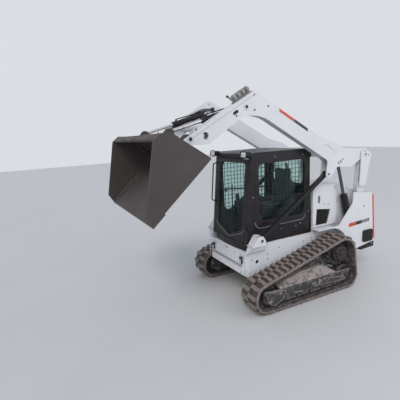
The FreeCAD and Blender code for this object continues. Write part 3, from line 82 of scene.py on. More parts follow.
class Paint:
    """A material's node tree with short words for the nodes used here."""

    def __init__(self, name):
        self.material = bpy.data.materials.new(name)
        self.material.use_nodes = True
        self.tree = self.material.node_tree
        self.shader = self.tree.nodes["Principled BSDF"]
        self.spot = self.node("ShaderNodeTexCoord").outputs["Object"]

    def node(self, kind, **fields):
        made = self.tree.nodes.new(kind)
        for field, value in fields.items():
            setattr(made, field, value)
        return made

    def link(self, source, target):
        self.tree.links.new(source, target)

    def put(self, socket, value):
        """A number, a colour or another node's output into a socket."""
        if isinstance(value, bpy.types.NodeSocket):
            self.link(value, socket)
        elif isinstance(value, tuple) and len(value) == 3 and socket.type == "RGBA":
            socket.default_value = (*value, 1)
        else:
            socket.default_value = value

    def fill(self, made, **values):
        """Values into a node's inputs, named with _ for a space."""
        for word, value in values.items():
            self.put(made.inputs[word.replace("_", " ")], value)
        return made

    def noise(self, scale, detail=4, rough=0.6, stretch=None):
        source = self.spot
        if stretch:
            mapping = self.fill(self.node("ShaderNodeMapping"), Scale=stretch, Vector=self.spot)
            source = mapping.outputs["Vector"]
        made = self.node("ShaderNodeTexNoise")
        return self.fill(made, Scale=scale, Detail=detail, Roughness=rough, Vector=source).outputs["Fac"]

    def between(self, source, low, high, to_low=0.0, to_high=1.0):
        """A value carried from one range to another, and clamped."""
        made = self.node("ShaderNodeMapRange", clamp=True)
        self.fill(made, Value=source, From_Min=low, From_Max=high, To_Min=to_low, To_Max=to_high)
        return made.outputs["Result"]

    def math(self, operation, first, second=0.0):
        made = self.node("ShaderNodeMath", operation=operation)
        self.put(made.inputs[0], first)
        self.put(made.inputs[1], second)
        return made.outputs[0]

    def mix(self, share, first, second):
        made = self.node("ShaderNodeMix", data_type="RGBA")
        return self.fill(made, Factor=share, A=first, B=second).outputs["Result"]

    def height(self):
        made = self.node("ShaderNodeSeparateXYZ")
        self.link(self.spot, made.inputs[0])
        return made.outputs["Z"]

    def upward(self):
        """High on faces that look up, where dust and soil lie."""
        made = self.node("ShaderNodeSeparateXYZ")
        self.link(self.node("ShaderNodeNewGeometry").outputs["Normal"], made.inputs[0])
        return self.between(made.outputs["Z"], 0.25, 0.9)

    def edges(self, reach=0.006):
        """High where the surface turns sharply, for worn edges."""
        bevel = self.fill(self.node("ShaderNodeBevel", samples=4), Radius=reach)
        normal = self.node("ShaderNodeNewGeometry").outputs["Normal"]
        dot = self.node("ShaderNodeVectorMath", operation="DOT_PRODUCT")
        self.link(bevel.outputs["Normal"], dot.inputs[0])
        self.link(normal, dot.inputs[1])
        return self.between(dot.outputs["Value"], 0.995, 0.8)

    def bump(self, source, strength, distance=0.002, before=None):
        made = self.fill(self.node("ShaderNodeBump"), Strength=strength, Distance=distance, Height=source)
        if before is not None:
            self.link(before, made.inputs["Normal"])
        return made.outputs["Normal"]

    def finish(self, colour, rough, metal=0.0, normal=None, **more):
        self.fill(self.shader, Base_Color=colour, Roughness=rough, Metallic=metal, **more)
        if normal is not None:
            self.link(normal, self.shader.inputs["Normal"])
        return self.material


def coated(name, colour, rough, dust, dust_share, mud_top, wear=None, gloss=0.5):
    """A sprayed metal: mottling, settled dust, splashes of soil low down, worn edges."""
    p = Paint(name)
    mottle = p.noise(3.2, 5, 0.6)
    tone = p.mix(p.between(mottle, 0.3, 0.7, 0, 0.3), colour, tuple(c * 0.84 for c in colour))
    patches = p.between(p.noise(9, 8, 0.72), 0.5, 0.74)
    runs = p.between(p.noise(16, 6, 0.7, (1, 1, 0.12)), 0.52, 0.8)
    lying = p.math("MULTIPLY", p.upward(), p.between(p.noise(6, 6, 0.7), 0.35, 0.7))
    veil = p.math("MAXIMUM", p.math("MAXIMUM", patches, runs), lying)
    low = p.between(p.height(), mud_top, mud_top * 0.25)
    flecks = p.between(p.noise(48, 6, 0.7), 0.56, 0.66)
    splash = p.math("MULTIPLY", low, p.math("MAXIMUM", flecks, p.between(p.noise(15, 8, 0.75), 0.5, 0.68)))
    cover = p.math("ADD", p.math("MULTIPLY", veil, dust_share), p.math("MULTIPLY", splash, 0.55))
    cover = p.math("MINIMUM", cover, 0.9)
    tone = p.mix(cover, tone, dust)
    if wear:
        edge = p.math("MULTIPLY", p.edges(), p.between(p.noise(30, 6), 0.45, 0.62))
        tone = p.mix(edge, tone, wear)
    shine = p.math("ADD", p.between(cover, 0, 1, rough, 0.85), p.between(mottle, 0.3, 0.7, -0.04, 0.06))
    grain = p.bump(p.noise(320, 2), 0.05, 0.0006)
    relief = p.bump(splash, 0.35, 0.003, grain)
    return p.finish(tone, shine, 0.0, relief, Specular_IOR_Level=gloss)


def muddy(name, base, mud, cover_share, scale, rough):
    """Iron under dried soil: dark where it lies bare, pale where the soil has dried, with a painted highlight on its
    edges.
    """
    p = Paint(name)
    clods = p.noise(scale, 10, 0.7)
    fine = p.noise(scale * 6, 6, 0.7)
    lying = p.between(p.upward(), 0, 1, -0.06, 0.22)
    thick = p.math("ADD", clods, lying)
    cover = p.between(thick, 0.64 - cover_share * 0.4, 0.78 - cover_share * 0.4)
    tone = p.mix(p.between(fine, 0.35, 0.65), tuple(c * 0.6 for c in mud), mud)
    under = p.mix(p.between(fine, 0.3, 0.7), tuple(c * 0.7 for c in base), base)
    # Painted highlight: every edge a little paler, towards the soil's colour.
    edge = p.math("MULTIPLY", p.edges(0.004), 0.35)
    colour = p.mix(edge, p.mix(cover, under, tone), tuple(min(1, c * 1.5) for c in mud))
    both = p.math("ADD", p.math("MULTIPLY", clods, 0.7), p.math("MULTIPLY", fine, 0.3))
    return p.finish(colour, p.between(cover, 0, 1, rough - 0.2, rough), 0.0, p.bump(both, 0.7, 0.006))


def tread_rubber():
    """The track's rubber: dried soil on its lugs and rims, and painted shade between them."""
    p = Paint("track_rubber")
    gap_shade = p.node("ShaderNodeAttribute", attribute_name="painted_gap_shade").outputs["Fac"]
    clods = p.noise(26, 10, 0.75)
    fine = p.noise(95, 6, 0.75)
    dry = p.mix(p.between(fine, 0.36, 0.64), (0.075, 0.058, 0.050), (0.34, 0.275, 0.245))
    bare = p.mix(p.between(fine, 0.3, 0.7), (0.030, 0.026, 0.026), (0.080, 0.068, 0.066))
    # Painted shade: less soil where the band lies between its lugs, so the gaps show dark bare rubber.
    caked = p.between(p.math("SUBTRACT", clods, p.math("MULTIPLY", gap_shade, 0.30)), 0.30, 0.46)
    colour = p.mix(caked, bare, dry)
    both = p.math("ADD", p.math("MULTIPLY", clods, 0.6), p.math("MULTIPLY", fine, 0.4))
    return p.finish(colour, p.between(caked, 0, 1, 0.6, 0.93), 0.0, p.bump(both, 0.8, 0.005))


def scoured(name, colour, soil, rust, rough=0.55, metal=0.35):
    """Plate that soil has rubbed: even and dull, with fine scratches, a film of earth and a painted highlight on its
    edges.
    """
    p = Paint(name)
    broad = p.noise(1.7, 5, 0.55)
    fine = p.noise(60, 6, 0.7)
    scratch = p.noise(34, 4, 0.65, (1, 0.2, 1))
    tone = p.mix(p.between(broad, 0.3, 0.7), tuple(c * 0.86 for c in colour), tuple(c * 1.14 for c in colour))
    tone = p.mix(p.between(scratch, 0.62, 0.78, 0, 0.35), tone, tuple(c * 1.9 for c in colour))
    film = p.between(p.noise(5, 10, 0.72), 0.46, 0.7, 0, 0.6)
    tone = p.mix(film, tone, soil)
    tone = p.mix(p.between(p.noise(11, 9, 0.75), 0.62, 0.7, 0, 0.5), tone, rust)
    # Painted highlight: every edge lightened evenly.
    tone = p.mix(p.math("MULTIPLY", p.edges(0.004), 0.5), tone, tuple(min(1, c * 2.6) for c in colour))
    dull = p.between(film, 0, 0.6, rough, 0.9)
    relief = p.bump(scratch, 0.12, 0.001, p.bump(fine, 0.25, 0.0015))
    return p.finish(tone, dull, p.between(film, 0, 0.6, metal, 0), relief)


def polished(name, colour, rough):
    """A chromed rod with a film of oil and a little dust."""
    p = Paint(name)
    rings = p.noise(30, 3, 0.6, (1, 1, 0.1))
    film = p.between(p.noise(12, 6, 0.7), 0.5, 0.75, 0, 0.5)
    tone = p.mix(film, p.mix(p.between(rings, 0.3, 0.7), tuple(c * 0.9 for c in colour), colour), (0.20, 0.17, 0.15))
    return p.finish(tone, p.between(film, 0, 0.5, rough, 0.5), p.between(film, 0, 0.5, 1.0, 0.4))


def clear(name, tint):
    """Window glass with a little dust, seen through."""
    p = Paint(name)
    film = p.between(p.noise(5, 8, 0.7), 0.45, 0.75, 0.0, 0.03)
    through = p.fill(p.node("ShaderNodeBsdfTransparent"), Color=tint)
    gloss = p.fill(p.node("ShaderNodeBsdfGlossy"), Roughness=0.04, Color=(0.58, 0.66, 0.68))
    veil = p.fill(p.node("ShaderNodeBsdfDiffuse"), Color=(0.22, 0.21, 0.20))
    facing = p.node("ShaderNodeLayerWeight").outputs["Facing"]
    shine = p.between(p.math("POWER", facing, 4), 0, 1, 0.012, 0.35)
    first, second = p.node("ShaderNodeMixShader"), p.node("ShaderNodeMixShader")
    p.link(shine, first.inputs[0])
    p.link(through.outputs[0], first.inputs[1])
    p.link(gloss.outputs[0], first.inputs[2])
    p.link(film, second.inputs[0])
    p.link(first.outputs[0], second.inputs[1])
    p.link(veil.outputs[0], second.inputs[2])
    p.link(second.outputs[0], p.tree.nodes["Material Output"].inputs["Surface"])
    p.tree.nodes.remove(p.shader)
    return p.material


def plain(name, colour, rough, vary, scale, **more):
    """A moulded or cast surface with its own small unevenness in colour and height."""
    p = Paint(name)
    grain = p.noise(scale, 5, 0.65)
    broad = p.noise(scale / 9, 4, 0.6)
    tone = p.mix(p.between(grain, 0.3, 0.7), tuple(c * (1 - vary) for c in colour), colour)
    tone = p.mix(p.between(broad, 0.45, 0.75, 0, 0.3), tone, tuple(c * 0.5 + 0.05 for c in colour))
    shine = p.between(broad, 0.3, 0.7, rough * 0.85, min(1, rough * 1.2))
    return p.finish(tone, shine, 0.0, p.bump(grain, 0.3, 0.0008), **more)


def weave(name, colour):
    """Seat cloth: crossed threads, a little sheen and dust in the hollows."""
    p = Paint(name)
    lines = []
    for stretch in ((1, 0.02, 0.02), (0.02, 1, 1)):
        lines.append(p.between(p.noise(700, 1, 0.4, stretch), 0.42, 0.58))
    thread = p.math("MAXIMUM", lines[0], lines[1])
    tone = p.mix(thread, tuple(c * 0.45 for c in colour), colour)
    tone = p.mix(p.between(p.noise(7, 6, 0.7), 0.5, 0.75, 0, 0.4), tone, (0.12, 0.105, 0.09))
    return p.finish(tone, 0.86, 0.0, p.bump(thread, 0.4, 0.0008), Sheen_Weight=0.3)


PALE_DUST, DARK_DUST = (0.30, 0.255, 0.215), (0.13, 0.105, 0.095)
WHITE = coated("white_coat", (0.63, 0.63, 0.64), 0.34, PALE_DUST, 0.09, 0.72, (0.26, 0.23, 0.21), 0.4)
BLACK = coated("black_coat", (0.0135, 0.0110, 0.0125), 0.36, DARK_DUST, 0.07, 0.5, (0.08, 0.07, 0.07), 0.26)
RED = coated("red_coat", (0.62, 0.055, 0.022), 0.35, PALE_DUST, 0.08, 0.5)
RUBBER = tread_rubber()
IRON = muddy("muddy_iron", (0.018, 0.016, 0.017), (0.17, 0.14, 0.125), 0.34, 14, 0.7)
FRAME = muddy("muddy_frame", (0.040, 0.036, 0.038), (0.36, 0.305, 0.285), 0.44, 12, 0.8)
# Pale soil colour for bars along the guards' edges: a painted highlight.
GUARD_EDGE_HIGHLIGHT = muddy("guard_edge_highlight", (0.10, 0.095, 0.095), (0.36, 0.33, 0.31), 0.65, 14, 0.75)
SOIL = muddy("dry_soil", (0.05, 0.037, 0.03), (0.19, 0.145, 0.115), 0.8, 30, 0.95)
STEEL = scoured("bucket_steel", (0.072, 0.058, 0.055), (0.060, 0.046, 0.040), (0.10, 0.058, 0.04))
BARE = scoured("bare_steel", (0.30, 0.29, 0.285), (0.13, 0.11, 0.095), (0.16, 0.10, 0.07), 0.4, 0.8)
CHROME = polished("rod_chrome", (0.72, 0.72, 0.74), 0.12)
DARK_ROD = polished("rod_dark", (0.13, 0.13, 0.14), 0.16)
SIDE_GLASS = clear("side_window", (0.87, 0.955, 0.93))
FRONT_GLASS = clear("front_window", (0.85, 0.93, 0.925))
REAR_GLASS = clear("rear_window", (0.92, 0.99, 0.97))
VINYL = weave("seat_cover", (0.060, 0.060, 0.066))
HOSE = plain("hose_rubber", (0.018, 0.018, 0.020), 0.45, 0.3, 200)
SEAL = plain("seal_rubber", (0.026, 0.024, 0.026), 0.5, 0.3, 60, Specular_IOR_Level=0.3)
PLASTIC = plain("dark_plastic", (0.014, 0.0135, 0.0145), 0.5, 0.25, 240, Specular_IOR_Level=0.25)
LENS = plain("lamp_lens", (0.78, 0.80, 0.80), 0.12, 0.15, 30, Coat_Weight=0.8)
TAIL_LENS = plain("tail_lens", (0.10, 0.012, 0.014), 0.2, 0.4, 30, Coat_Weight=0.6)
# Pale grey for lines along the windows' lower edges: a painted highlight, the sky's reflection there.
PAINTED_EDGE_HIGHLIGHT = plain("painted_edge_highlight", (0.33, 0.34, 0.35), 0.5, 0.2, 60)
# Near black for plates set behind openings: painted shade.
PAINTED_SHADE = plain("painted_shade", (0.010, 0.010, 0.011), 0.9, 0.4, 20)
RED_FILM = plain("red_film", (0.58, 0.045, 0.02), 0.35, 0.12, 60)
BLACK_FILM = plain("black_film", (0.015, 0.015, 0.017), 0.4, 0.2, 60)
GREY_FILM = plain("grey_film", (0.20, 0.20, 0.205), 0.4, 0.15, 60)

LOOKS = {
    "white_paint": WHITE,
    "black_paint": BLACK,
    "red_paint": RED,
    "rubber": RUBBER,
    "hose_rubber": HOSE,
    "dark_iron": IRON,
    "worn_steel": STEEL,
    "chrome": CHROME,
    "glass": SIDE_GLASS,
    "seat_vinyl": VINYL,
}
OWN_LOOKS = {
    "track_frames": FRAME,
    "lift_rods": DARK_ROD,
    "door_glass": FRONT_GLASS,
    "rear_glass": REAR_GLASS,
    "joysticks": PLASTIC,
    "side_consoles": PLASTIC,
    "arm_couplers": BARE,
}
# The slots of small pieces by their look, where it isn't black paint
SLOT_OF = {item["node"]: item["material_slot"] for item in frame["record"]["subparts"]}
SHARP = {"side_glass", "rear_glass", "door_glass"}


def soften(thing, width):
    """Small rounded edges and even shading."""
    smooth_faces(thing.data)
    edge = thing.modifiers.new("edge", "BEVEL")
    edge.width = width
    edge.segments = 2
    edge.limit_method = "ANGLE"
    edge.angle_limit = math.radians(40)
    edge.harden_normals = True


for name, thing in frame["nodes"].items():
    thing.data.materials.clear()
    thing.data.materials.append(OWN_LOOKS.get(name, LOOKS[SLOT_OF[name]]))
    if name not in SHARP:
        soften(thing, 0.0008 if SLOT_OF[name] == "hose_rubber" else 0.002)

# Forms


def rounded(corners, steps=5):
    """An outline's points, with an arc of steps at each (a, b, radius) corner."""
    line = []
    for index, (a, b, radius) in enumerate(corners):
        here = Vector((a, b))
        before = (Vector(corners[index - 1][:2]) - here).normalized()
        after = (Vector(corners[(index + 1) % len(corners)][:2]) - here).normalized()
        if radius < 0.1:
            line.append(tuple(here))
            continue
        half = before.angle(after) / 2
        centre = here + (before + after).normalized() * radius / math.sin(half)
        start = here + before * radius / math.tan(half) - centre
        end = here + after * radius / math.tan(half) - centre
        for step in range(steps + 1):
            line.append(tuple(centre + start.lerp(end, step / steps).normalized() * radius))
    return line


def curved(points, steps=7):
    """A smooth line through points."""
    line = []
    spread = [points[0]] + list(points) + [points[-1]]
    for index in range(len(points) - 1):
        a, b, c, d = (Vector(p) for p in spread[index : index + 4])
        for step in range(steps):
            t = step / steps
            pull = (c - a) * t + (a * 2 - b * 5 + c * 4 - d) * t * t + (b * 3 - a - c * 3 + d) * t**3
            line.append(b + pull * 0.5)
    line.append(Vector(points[-1]))
    return line


class Forms:
    """Small shapes gathered in one mesh, which done() makes a piece."""

    def __init__(self):
        self.mesh = bmesh.new()

    def solid(self, outline, shift):
        """A flat outline of points, made thick by a shift in metres."""
        low = [self.mesh.verts.new(point) for point in outline]
        high = [self.mesh.verts.new(Vector(point) + Vector(shift)) for point in outline]
        self.mesh.faces.new(low)
        self.mesh.faces.new(high[::-1])
        for index, vert in enumerate(low):
            after = (index + 1) % len(low)
            self.mesh.faces.new((vert, high[index], high[after], low[after]))

    def frame(self, outer, inner, shift):
        """A flat frame between two outlines with as many points, made thick by a shift."""
        shift = Vector(shift)
        rows = [[self.mesh.verts.new(Vector(point) + move) for point in line]
                for line, move in ((outer, shift * 0), (outer, shift), (inner, shift), (inner, shift * 0))]
        self.skin(rows, True)

    def plate(self, x, thick, outline):
        """A plate across the machine: (y, z) corners in mm, and its thickness in x."""
        self.solid([spot(x, y, z) for y, z in outline], (thick / 1000, 0, 0))

    def ring(self, centre, first, second, radius, sides):
        """Points round a centre, in the plane of two directions."""
        points = []
        for number in range(sides):
            angle = 2 * math.pi * number / sides
            out = first * math.cos(angle) + second * math.sin(angle)
            points.append(self.mesh.verts.new(centre + out * radius / 1000))
        return points

    def skin(self, rings, closed):
        """Faces from ring to ring, and over both ends where the row isn't closed."""
        count = len(rings[0])
        for low, high in zip(rings, rings[1:] + rings[:1] if closed else rings[1:]):
            for number in range(count):
                after = (number + 1) % count
                self.mesh.faces.new((low[number], low[after], high[after], high[number]))
        if not closed:
            self.mesh.faces.new(rings[0])
            self.mesh.faces.new(rings[-1])

    def turned(self, base, way, steps, sides=20, hollow=False):
        """A turned form from base along way: (distance, radius) steps in mm. A hollow one is a ring."""
        way = Vector(way).normalized()
        first = way.orthogonal().normalized()
        second = way.cross(first)
        rings = [self.ring(base + way * distance / 1000, first, second, radius, sides) for distance, radius in steps]
        self.skin(rings, hollow)

    def collar(self, base, way, inner, outer, width):
        """A band round a tube."""
        steps = [(0, inner), (0, outer - 1), (1, outer), (width - 1, outer), (width, outer - 1), (width, inner)]
        self.turned(base, way, steps, 28, hollow=True)

    def bolts(self, x, places, across):
        """Bolts at (y, z) places on a side's face at x."""
        for y, z in places:
            self.bolt(spot(x, y, z), (math.copysign(1, x), 0, 0), across)

    def bolt(self, base, way, across):
        """A hexagon head on a washer."""
        self.turned(base, way, [(-0.5, across * 0.72), (1.6, across * 0.72), (2, across * 0.66)], 16)
        head = across * 0.577
        self.turned(base, way, [(1.6, head), (across * 0.45, head), (across * 0.55, head * 0.84)], 6)

    def swept(self, points, radius, sides=10, closed=False):
        """A round bar along points in metres, its radius in mm."""
        count = len(points)
        rings = []
        side = None
        for index, point in enumerate(points):
            ahead = points[(index + 1) % count] if closed or index < count - 1 else point
            behind = points[index - 1] if closed or index else point
            way = (Vector(ahead) - Vector(behind)).normalized()
            side = way.orthogonal().normalized() if side is None else (side - way * side.dot(way)).normalized()
            rings.append(self.ring(Vector(point), side, way.cross(side), radius, sides))
        self.skin(rings, closed)

    def lump(self, centre, size, flat=0.6, seed=0):
        """A clod of soil: a sphere pushed about by noise."""
        made = bmesh.ops.create_icosphere(self.mesh, subdivisions=2, radius=size / 1000)
        for vert in made["verts"]:
            push = noise.noise(vert.co * 60 + Vector((seed, seed * 1.7, 0)))
            vert.co *= 1 + 0.45 * push
            vert.co.z *= flat
            vert.co += centre

    def made(self, name, look):
        """The shapes so far as one object."""
        bmesh.ops.recalc_face_normals(self.mesh, faces=self.mesh.faces)
        data = bpy.data.meshes.new(name)
        self.mesh.to_mesh(data)
        self.mesh.free()
        data.materials.append(look)
        return placed(name, data)

    def done(self, name, look, body="chassis", edge=0.0006):
        """The shapes so far as a piece that rides a body."""
        thing = self.made(name, look)
        if edge:
            soften(thing, edge)
        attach(thing, body)


# The linkage's pins, (y, z) from the drive axle and the ground
PINS = {
    "hinge": (-2104, 2192),
    "tilt_base": (-1377, 2517),
    "control_top": (-72, 1615),
    "control_base": (-1188, 878),
    "lift_top": (149, 1770),
    "lift_base": (462, 655),
    "rear_top": (625, 1835),
    "tilt_eye": (-2262, 2283),
}

# Tracks: the solid's loop with worn lugs, soil in the gaps and a smooth rim on each side

# (y, z, radius) of the band's inside round the sprocket, the front idler and the rear idler
WHEELS = ((0, 520, 200), (-1275, 225, 165), (112, 188, 128))
HUB_Z = WHEELS[0][1]
BAND_X, CARCASS, LUG, RIM, HALF = 518, 28, 32, 18, 160
LUG_PITCH, LUG_LENGTH, LUG_SLOPE, LUG_SKEW = 92, 0.56, 0.078, 7
# Places across the band, under it, and along one lug's pitch
ACROSS = (0, 2, 9, 17, 19, 21, 26, 44, 66, 88, 110, 132, 150, 156.5, 163.5, 170, 188, 210, 232, 254, 276,
          294, 299, 301, 303, 311, 318, 320)
UNDER = (318, 260, 190, 130, 60, 2)
ALONG = (0, 0.04, 0.078, 0.14, 0.25, 0.36, 0.44, 0.482, 0.5, 0.56, 0.578, 0.64, 0.75, 0.86, 0.94, 0.982)


def loop_parts():
    """The band's inside as bends and runs: length, where it starts, its radius (0 on a run)."""
    turns = []
    for index, (y, z, radius) in enumerate(WHEELS):
        to_y, to_z, to_radius = WHEELS[(index + 1) % 3]
        length = math.hypot(to_y - y, to_z - z)
        turns.append(math.atan2(to_z - z, to_y - y) - math.acos((radius - to_radius) / length))
    parts = []
    for index, (y, z, radius) in enumerate(WHEELS):
        to_y, to_z, to_radius = WHEELS[(index + 1) % 3]
        first, out = turns[index - 1], turns[index]
        parts.append(((out - first) % (2 * math.pi) * radius, y, z, radius, first))
        begin = (y + radius * math.cos(out), z + radius * math.sin(out))
        length = math.dist(begin, (to_y + to_radius * math.cos(out), to_z + to_radius * math.sin(out)))
        parts.append((length, *begin, 0, out))
    return parts


def loop_at(parts, travel):
    """The place on the band's inside and the angle of its outward side."""
    for length, y, z, radius, angle in parts:
        if travel <= length:
            break
        travel -= length
    if radius:
        angle += travel / radius
        return y + radius * math.cos(angle), z + radius * math.sin(angle), angle
    return y - math.sin(angle) * travel, z + math.cos(angle) * travel, angle


def lug_height(across, share):
    """How high the tread stands over the band, from 0 to 1."""
    edge = min(across, 2 * HALF - across)
    if edge <= RIM:
        return 0.0
    phase = 0.0 if across < HALF else 0.5
    along = (share - phase) % 1.0
    rise = min(along, LUG_LENGTH - along) / LUG_SLOPE
    return max(0.0, min(1.0, rise)) * min(1.0, 0.8 + (edge - RIM) * 0.03)


def track(side, word):
    parts = loop_parts()
    around = sum(part[0] for part in parts)
    lugs = round(around / LUG_PITCH)
    pitch = around / lugs
    band = Forms()
    rows, gap_shades = [], []
    for number in range(lugs):
        for share in ALONG:
            travel = (number + share) * pitch
            row = []
            for across in ACROSS:
                skew = (across - HALF) / HALF * LUG_SKEW if RIM < across < 2 * HALF - RIM else 0
                y, z, angle = loop_at(parts, (travel + skew) % around)
                lug = lug_height(across, share)
                edge = min(across, 2 * HALF - across)
                x = side * (BAND_X + across)
                place = Vector((x, y, z)) / 1000
                rough = noise.noise(place * 24) * 0.6 + noise.noise(place * 70) * 0.4
                height = CARCASS + LUG * lug - max(0.0, rough + 0.1) * 9 * lug
                if RIM < edge and lug < 0.5:
                    caked = noise.noise(place * 15) * 0.7 + noise.noise(place * 41) * 0.5 + 0.12
                    height += max(0.0, caked) * 30 * (1 - lug)
                if edge < 1:
                    height = CARCASS - 5
                elif edge < 3:
                    height = CARCASS - 1
                row.append(band.mesh.verts.new(spot(x, y + height * math.cos(angle), z + height * math.sin(angle))))
                # How much painted shade the rubber puts at each point: most between the lugs, some near the rims and
                # under the band.
                gap_shades.append(1 - lug if edge > RIM else (0.0 if edge < 12 else 0.35))
            for across in UNDER:
                y, z, angle = loop_at(parts, travel % around)
                row.append(band.mesh.verts.new(spot(side * (BAND_X + across), y, z)))
                gap_shades.append(0.6)
            rows.append(row)
    band.skin(rows, True)
    thing = band.made("tread_" + word, RUBBER)
    layer = thing.data.attributes.new("painted_gap_shade", "FLOAT", "POINT")
    layer.data.foreach_set("value", gap_shades)
    smooth_faces(thing.data)
    thing.data.set_sharp_from_angle(angle=math.radians(38))
    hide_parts("track_" + word)
    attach(thing, "chassis")


both_sides(track)


def clods(side, word):
    """Soil that lies on the track frame's shoulder, on its beam and in the band's rim."""
    soil = Forms()
    for number in range(150):
        share = random.random() ** 0.7
        y = random.uniform(-1010, -120)
        x, z = 690 + 84 * share, 392 - 108 * share
        if random.random() < 0.35:
            x, z, y = random.uniform(600, 690), 393, random.uniform(-900, -330)
            if y < -640:
                z = 388 - (-640 - y) * 0.15
        size = random.choice((4, 5, 6, 8, 11)) * random.uniform(0.7, 1.2)
        soil.lump(spot(side * x, y, z), size, 0.5, number * 0.37)
    for number in range(70):
        y = random.uniform(-1240, 90)
        soil.lump(spot(side * random.uniform(784, 789), y, random.uniform(120, 150)), random.uniform(3, 6), 0.8,
                  number * 0.73)
    parts = loop_parts()
    around = sum(part[0] for part in parts)
    for number in range(260):
        y, z, angle = loop_at(parts, random.uniform(0, around))
        if z < 60:
            continue
        height = random.uniform(CARCASS + 2, CARCASS + LUG - 9)
        place = spot(side * random.uniform(540, 816), y + height * math.cos(angle), z + height * math.sin(angle))
        soil.lump(place, random.choice((4, 5, 6, 8)), 0.8, number * 0.51)
    soil.done("frame_soil_" + word, SOIL, edge=0)


both_sides(clods)

# Undercarriage: axle ends, bolts, pale rims along the guards' edges as a painted highlight, and the hub's ribs


def undercarriage(side, word):
    out = (side, 0, 0)
    iron = Forms()
    for y, z, cap in [(-1010 + 215 * n, 132, 30) for n in range(5)] + [(-1275, 225, 40), (112, 188, 36)]:
        iron.turned(spot(side * 780.5, y, z), out, [(0, cap), (4, cap), (6, cap - 4), (6, cap * 0.45), (4, cap * 0.4)])
        iron.bolt(spot(side * 784, y, z), out, 19)
    iron.bolts(side * 795, ((-1215, 250), (-1190, 120), (-1040, 150), (-1010, 232)), 17)
    iron.bolts(side * 793, ((-395, 190), (-160, 180), (20, 160)), 15)
    iron.bolts(side * 781, ((-780, 235), (-565, 235), (-350, 235), (-135, 235)), 16)
    iron.done("frame_bolts_" + word, IRON)
    # Pale bars along the guards' edges: a painted highlight.
    rims = Forms()
    front = [(-1312, 286, 14), (-1228, 112, 14), (-1150, 86, 14), (-1010, 150, 20), (-985, 250, 20), (-1100, 262, 30)]
    rear = [(-420, 168, 12), (55, 142, 12), (66, 182, 12), (-310, 240, 12), (-425, 214, 12)]
    for line, x, size in ((front, 794, 3.6), (rear, 792, 3.2)):
        rims.swept([spot(side * x, y, z) for y, z in rounded(line)], size, 6, closed=True)
    rims.swept([spot(side * 780, -1040 + 30 * n, 276 + random.uniform(-1, 1)) for n in range(31)], 4, 6)
    rims.swept([spot(side * 780, -980 + 30 * n, 108 + random.uniform(-1, 1)) for n in range(30)], 3, 6)
    for y in (-900, -560):
        rims.swept([spot(side * 781, y, 262), spot(side * 781, y + 70, 168), spot(side * 781, y + 190, 160)], 4.5, 6)
    rims.done("frame_rims_" + word, GUARD_EDGE_HIGHLIGHT, edge=0)
    hub = Forms()
    for number in range(9):
        angle = 2 * math.pi * number / 9
        y, z = 73.2 * math.cos(angle), HUB_Z + 73.2 * math.sin(angle)
        hub.bolt(spot(side * 797.6, y, z), out, 14)
    for number in range(24):
        angle = 2 * math.pi * (number + 0.5) / 24
        radial = Vector((0, math.cos(angle), math.sin(angle)))
        across = Vector((0, -math.sin(angle), math.cos(angle))) * 0.0035
        base = spot(side * 749.5, 0, HUB_Z)
        low, high = base + radial * 0.093, base + radial * 0.1165
        tip = Vector((side * 0.034, 0, 0))
        hub.solid([low - across, high - across, high - across + tip * 0.35, low - across + tip], across * 2)
    hub.turned(spot(side * 803.5, 0, HUB_Z), out, [(0, 30), (3, 30), (4.5, 27), (4.5, 12), (3, 10)])
    hub.done("hub_ribs_" + word, IRON)


both_sides(undercarriage)

# Body: bolts, weld beads, the stripe on the tail, the lamp lens and painted shade behind the grille


def bead(forms, x, line, size=4):
    """A weld bead along (y, z) points at x."""
    points = []
    for start, end in zip(line, line[1:]):
        steps = max(1, int(math.dist(start, end) / 9))
        for step in range(steps):
            share = step / steps
            points.append((start[0] + (end[0] - start[0]) * share, start[1] + (end[1] - start[1]) * share))
    points.append(line[-1])
    forms.swept([spot(x + random.uniform(-0.8, 0.8), y, z) for y, z in points], size, 6)


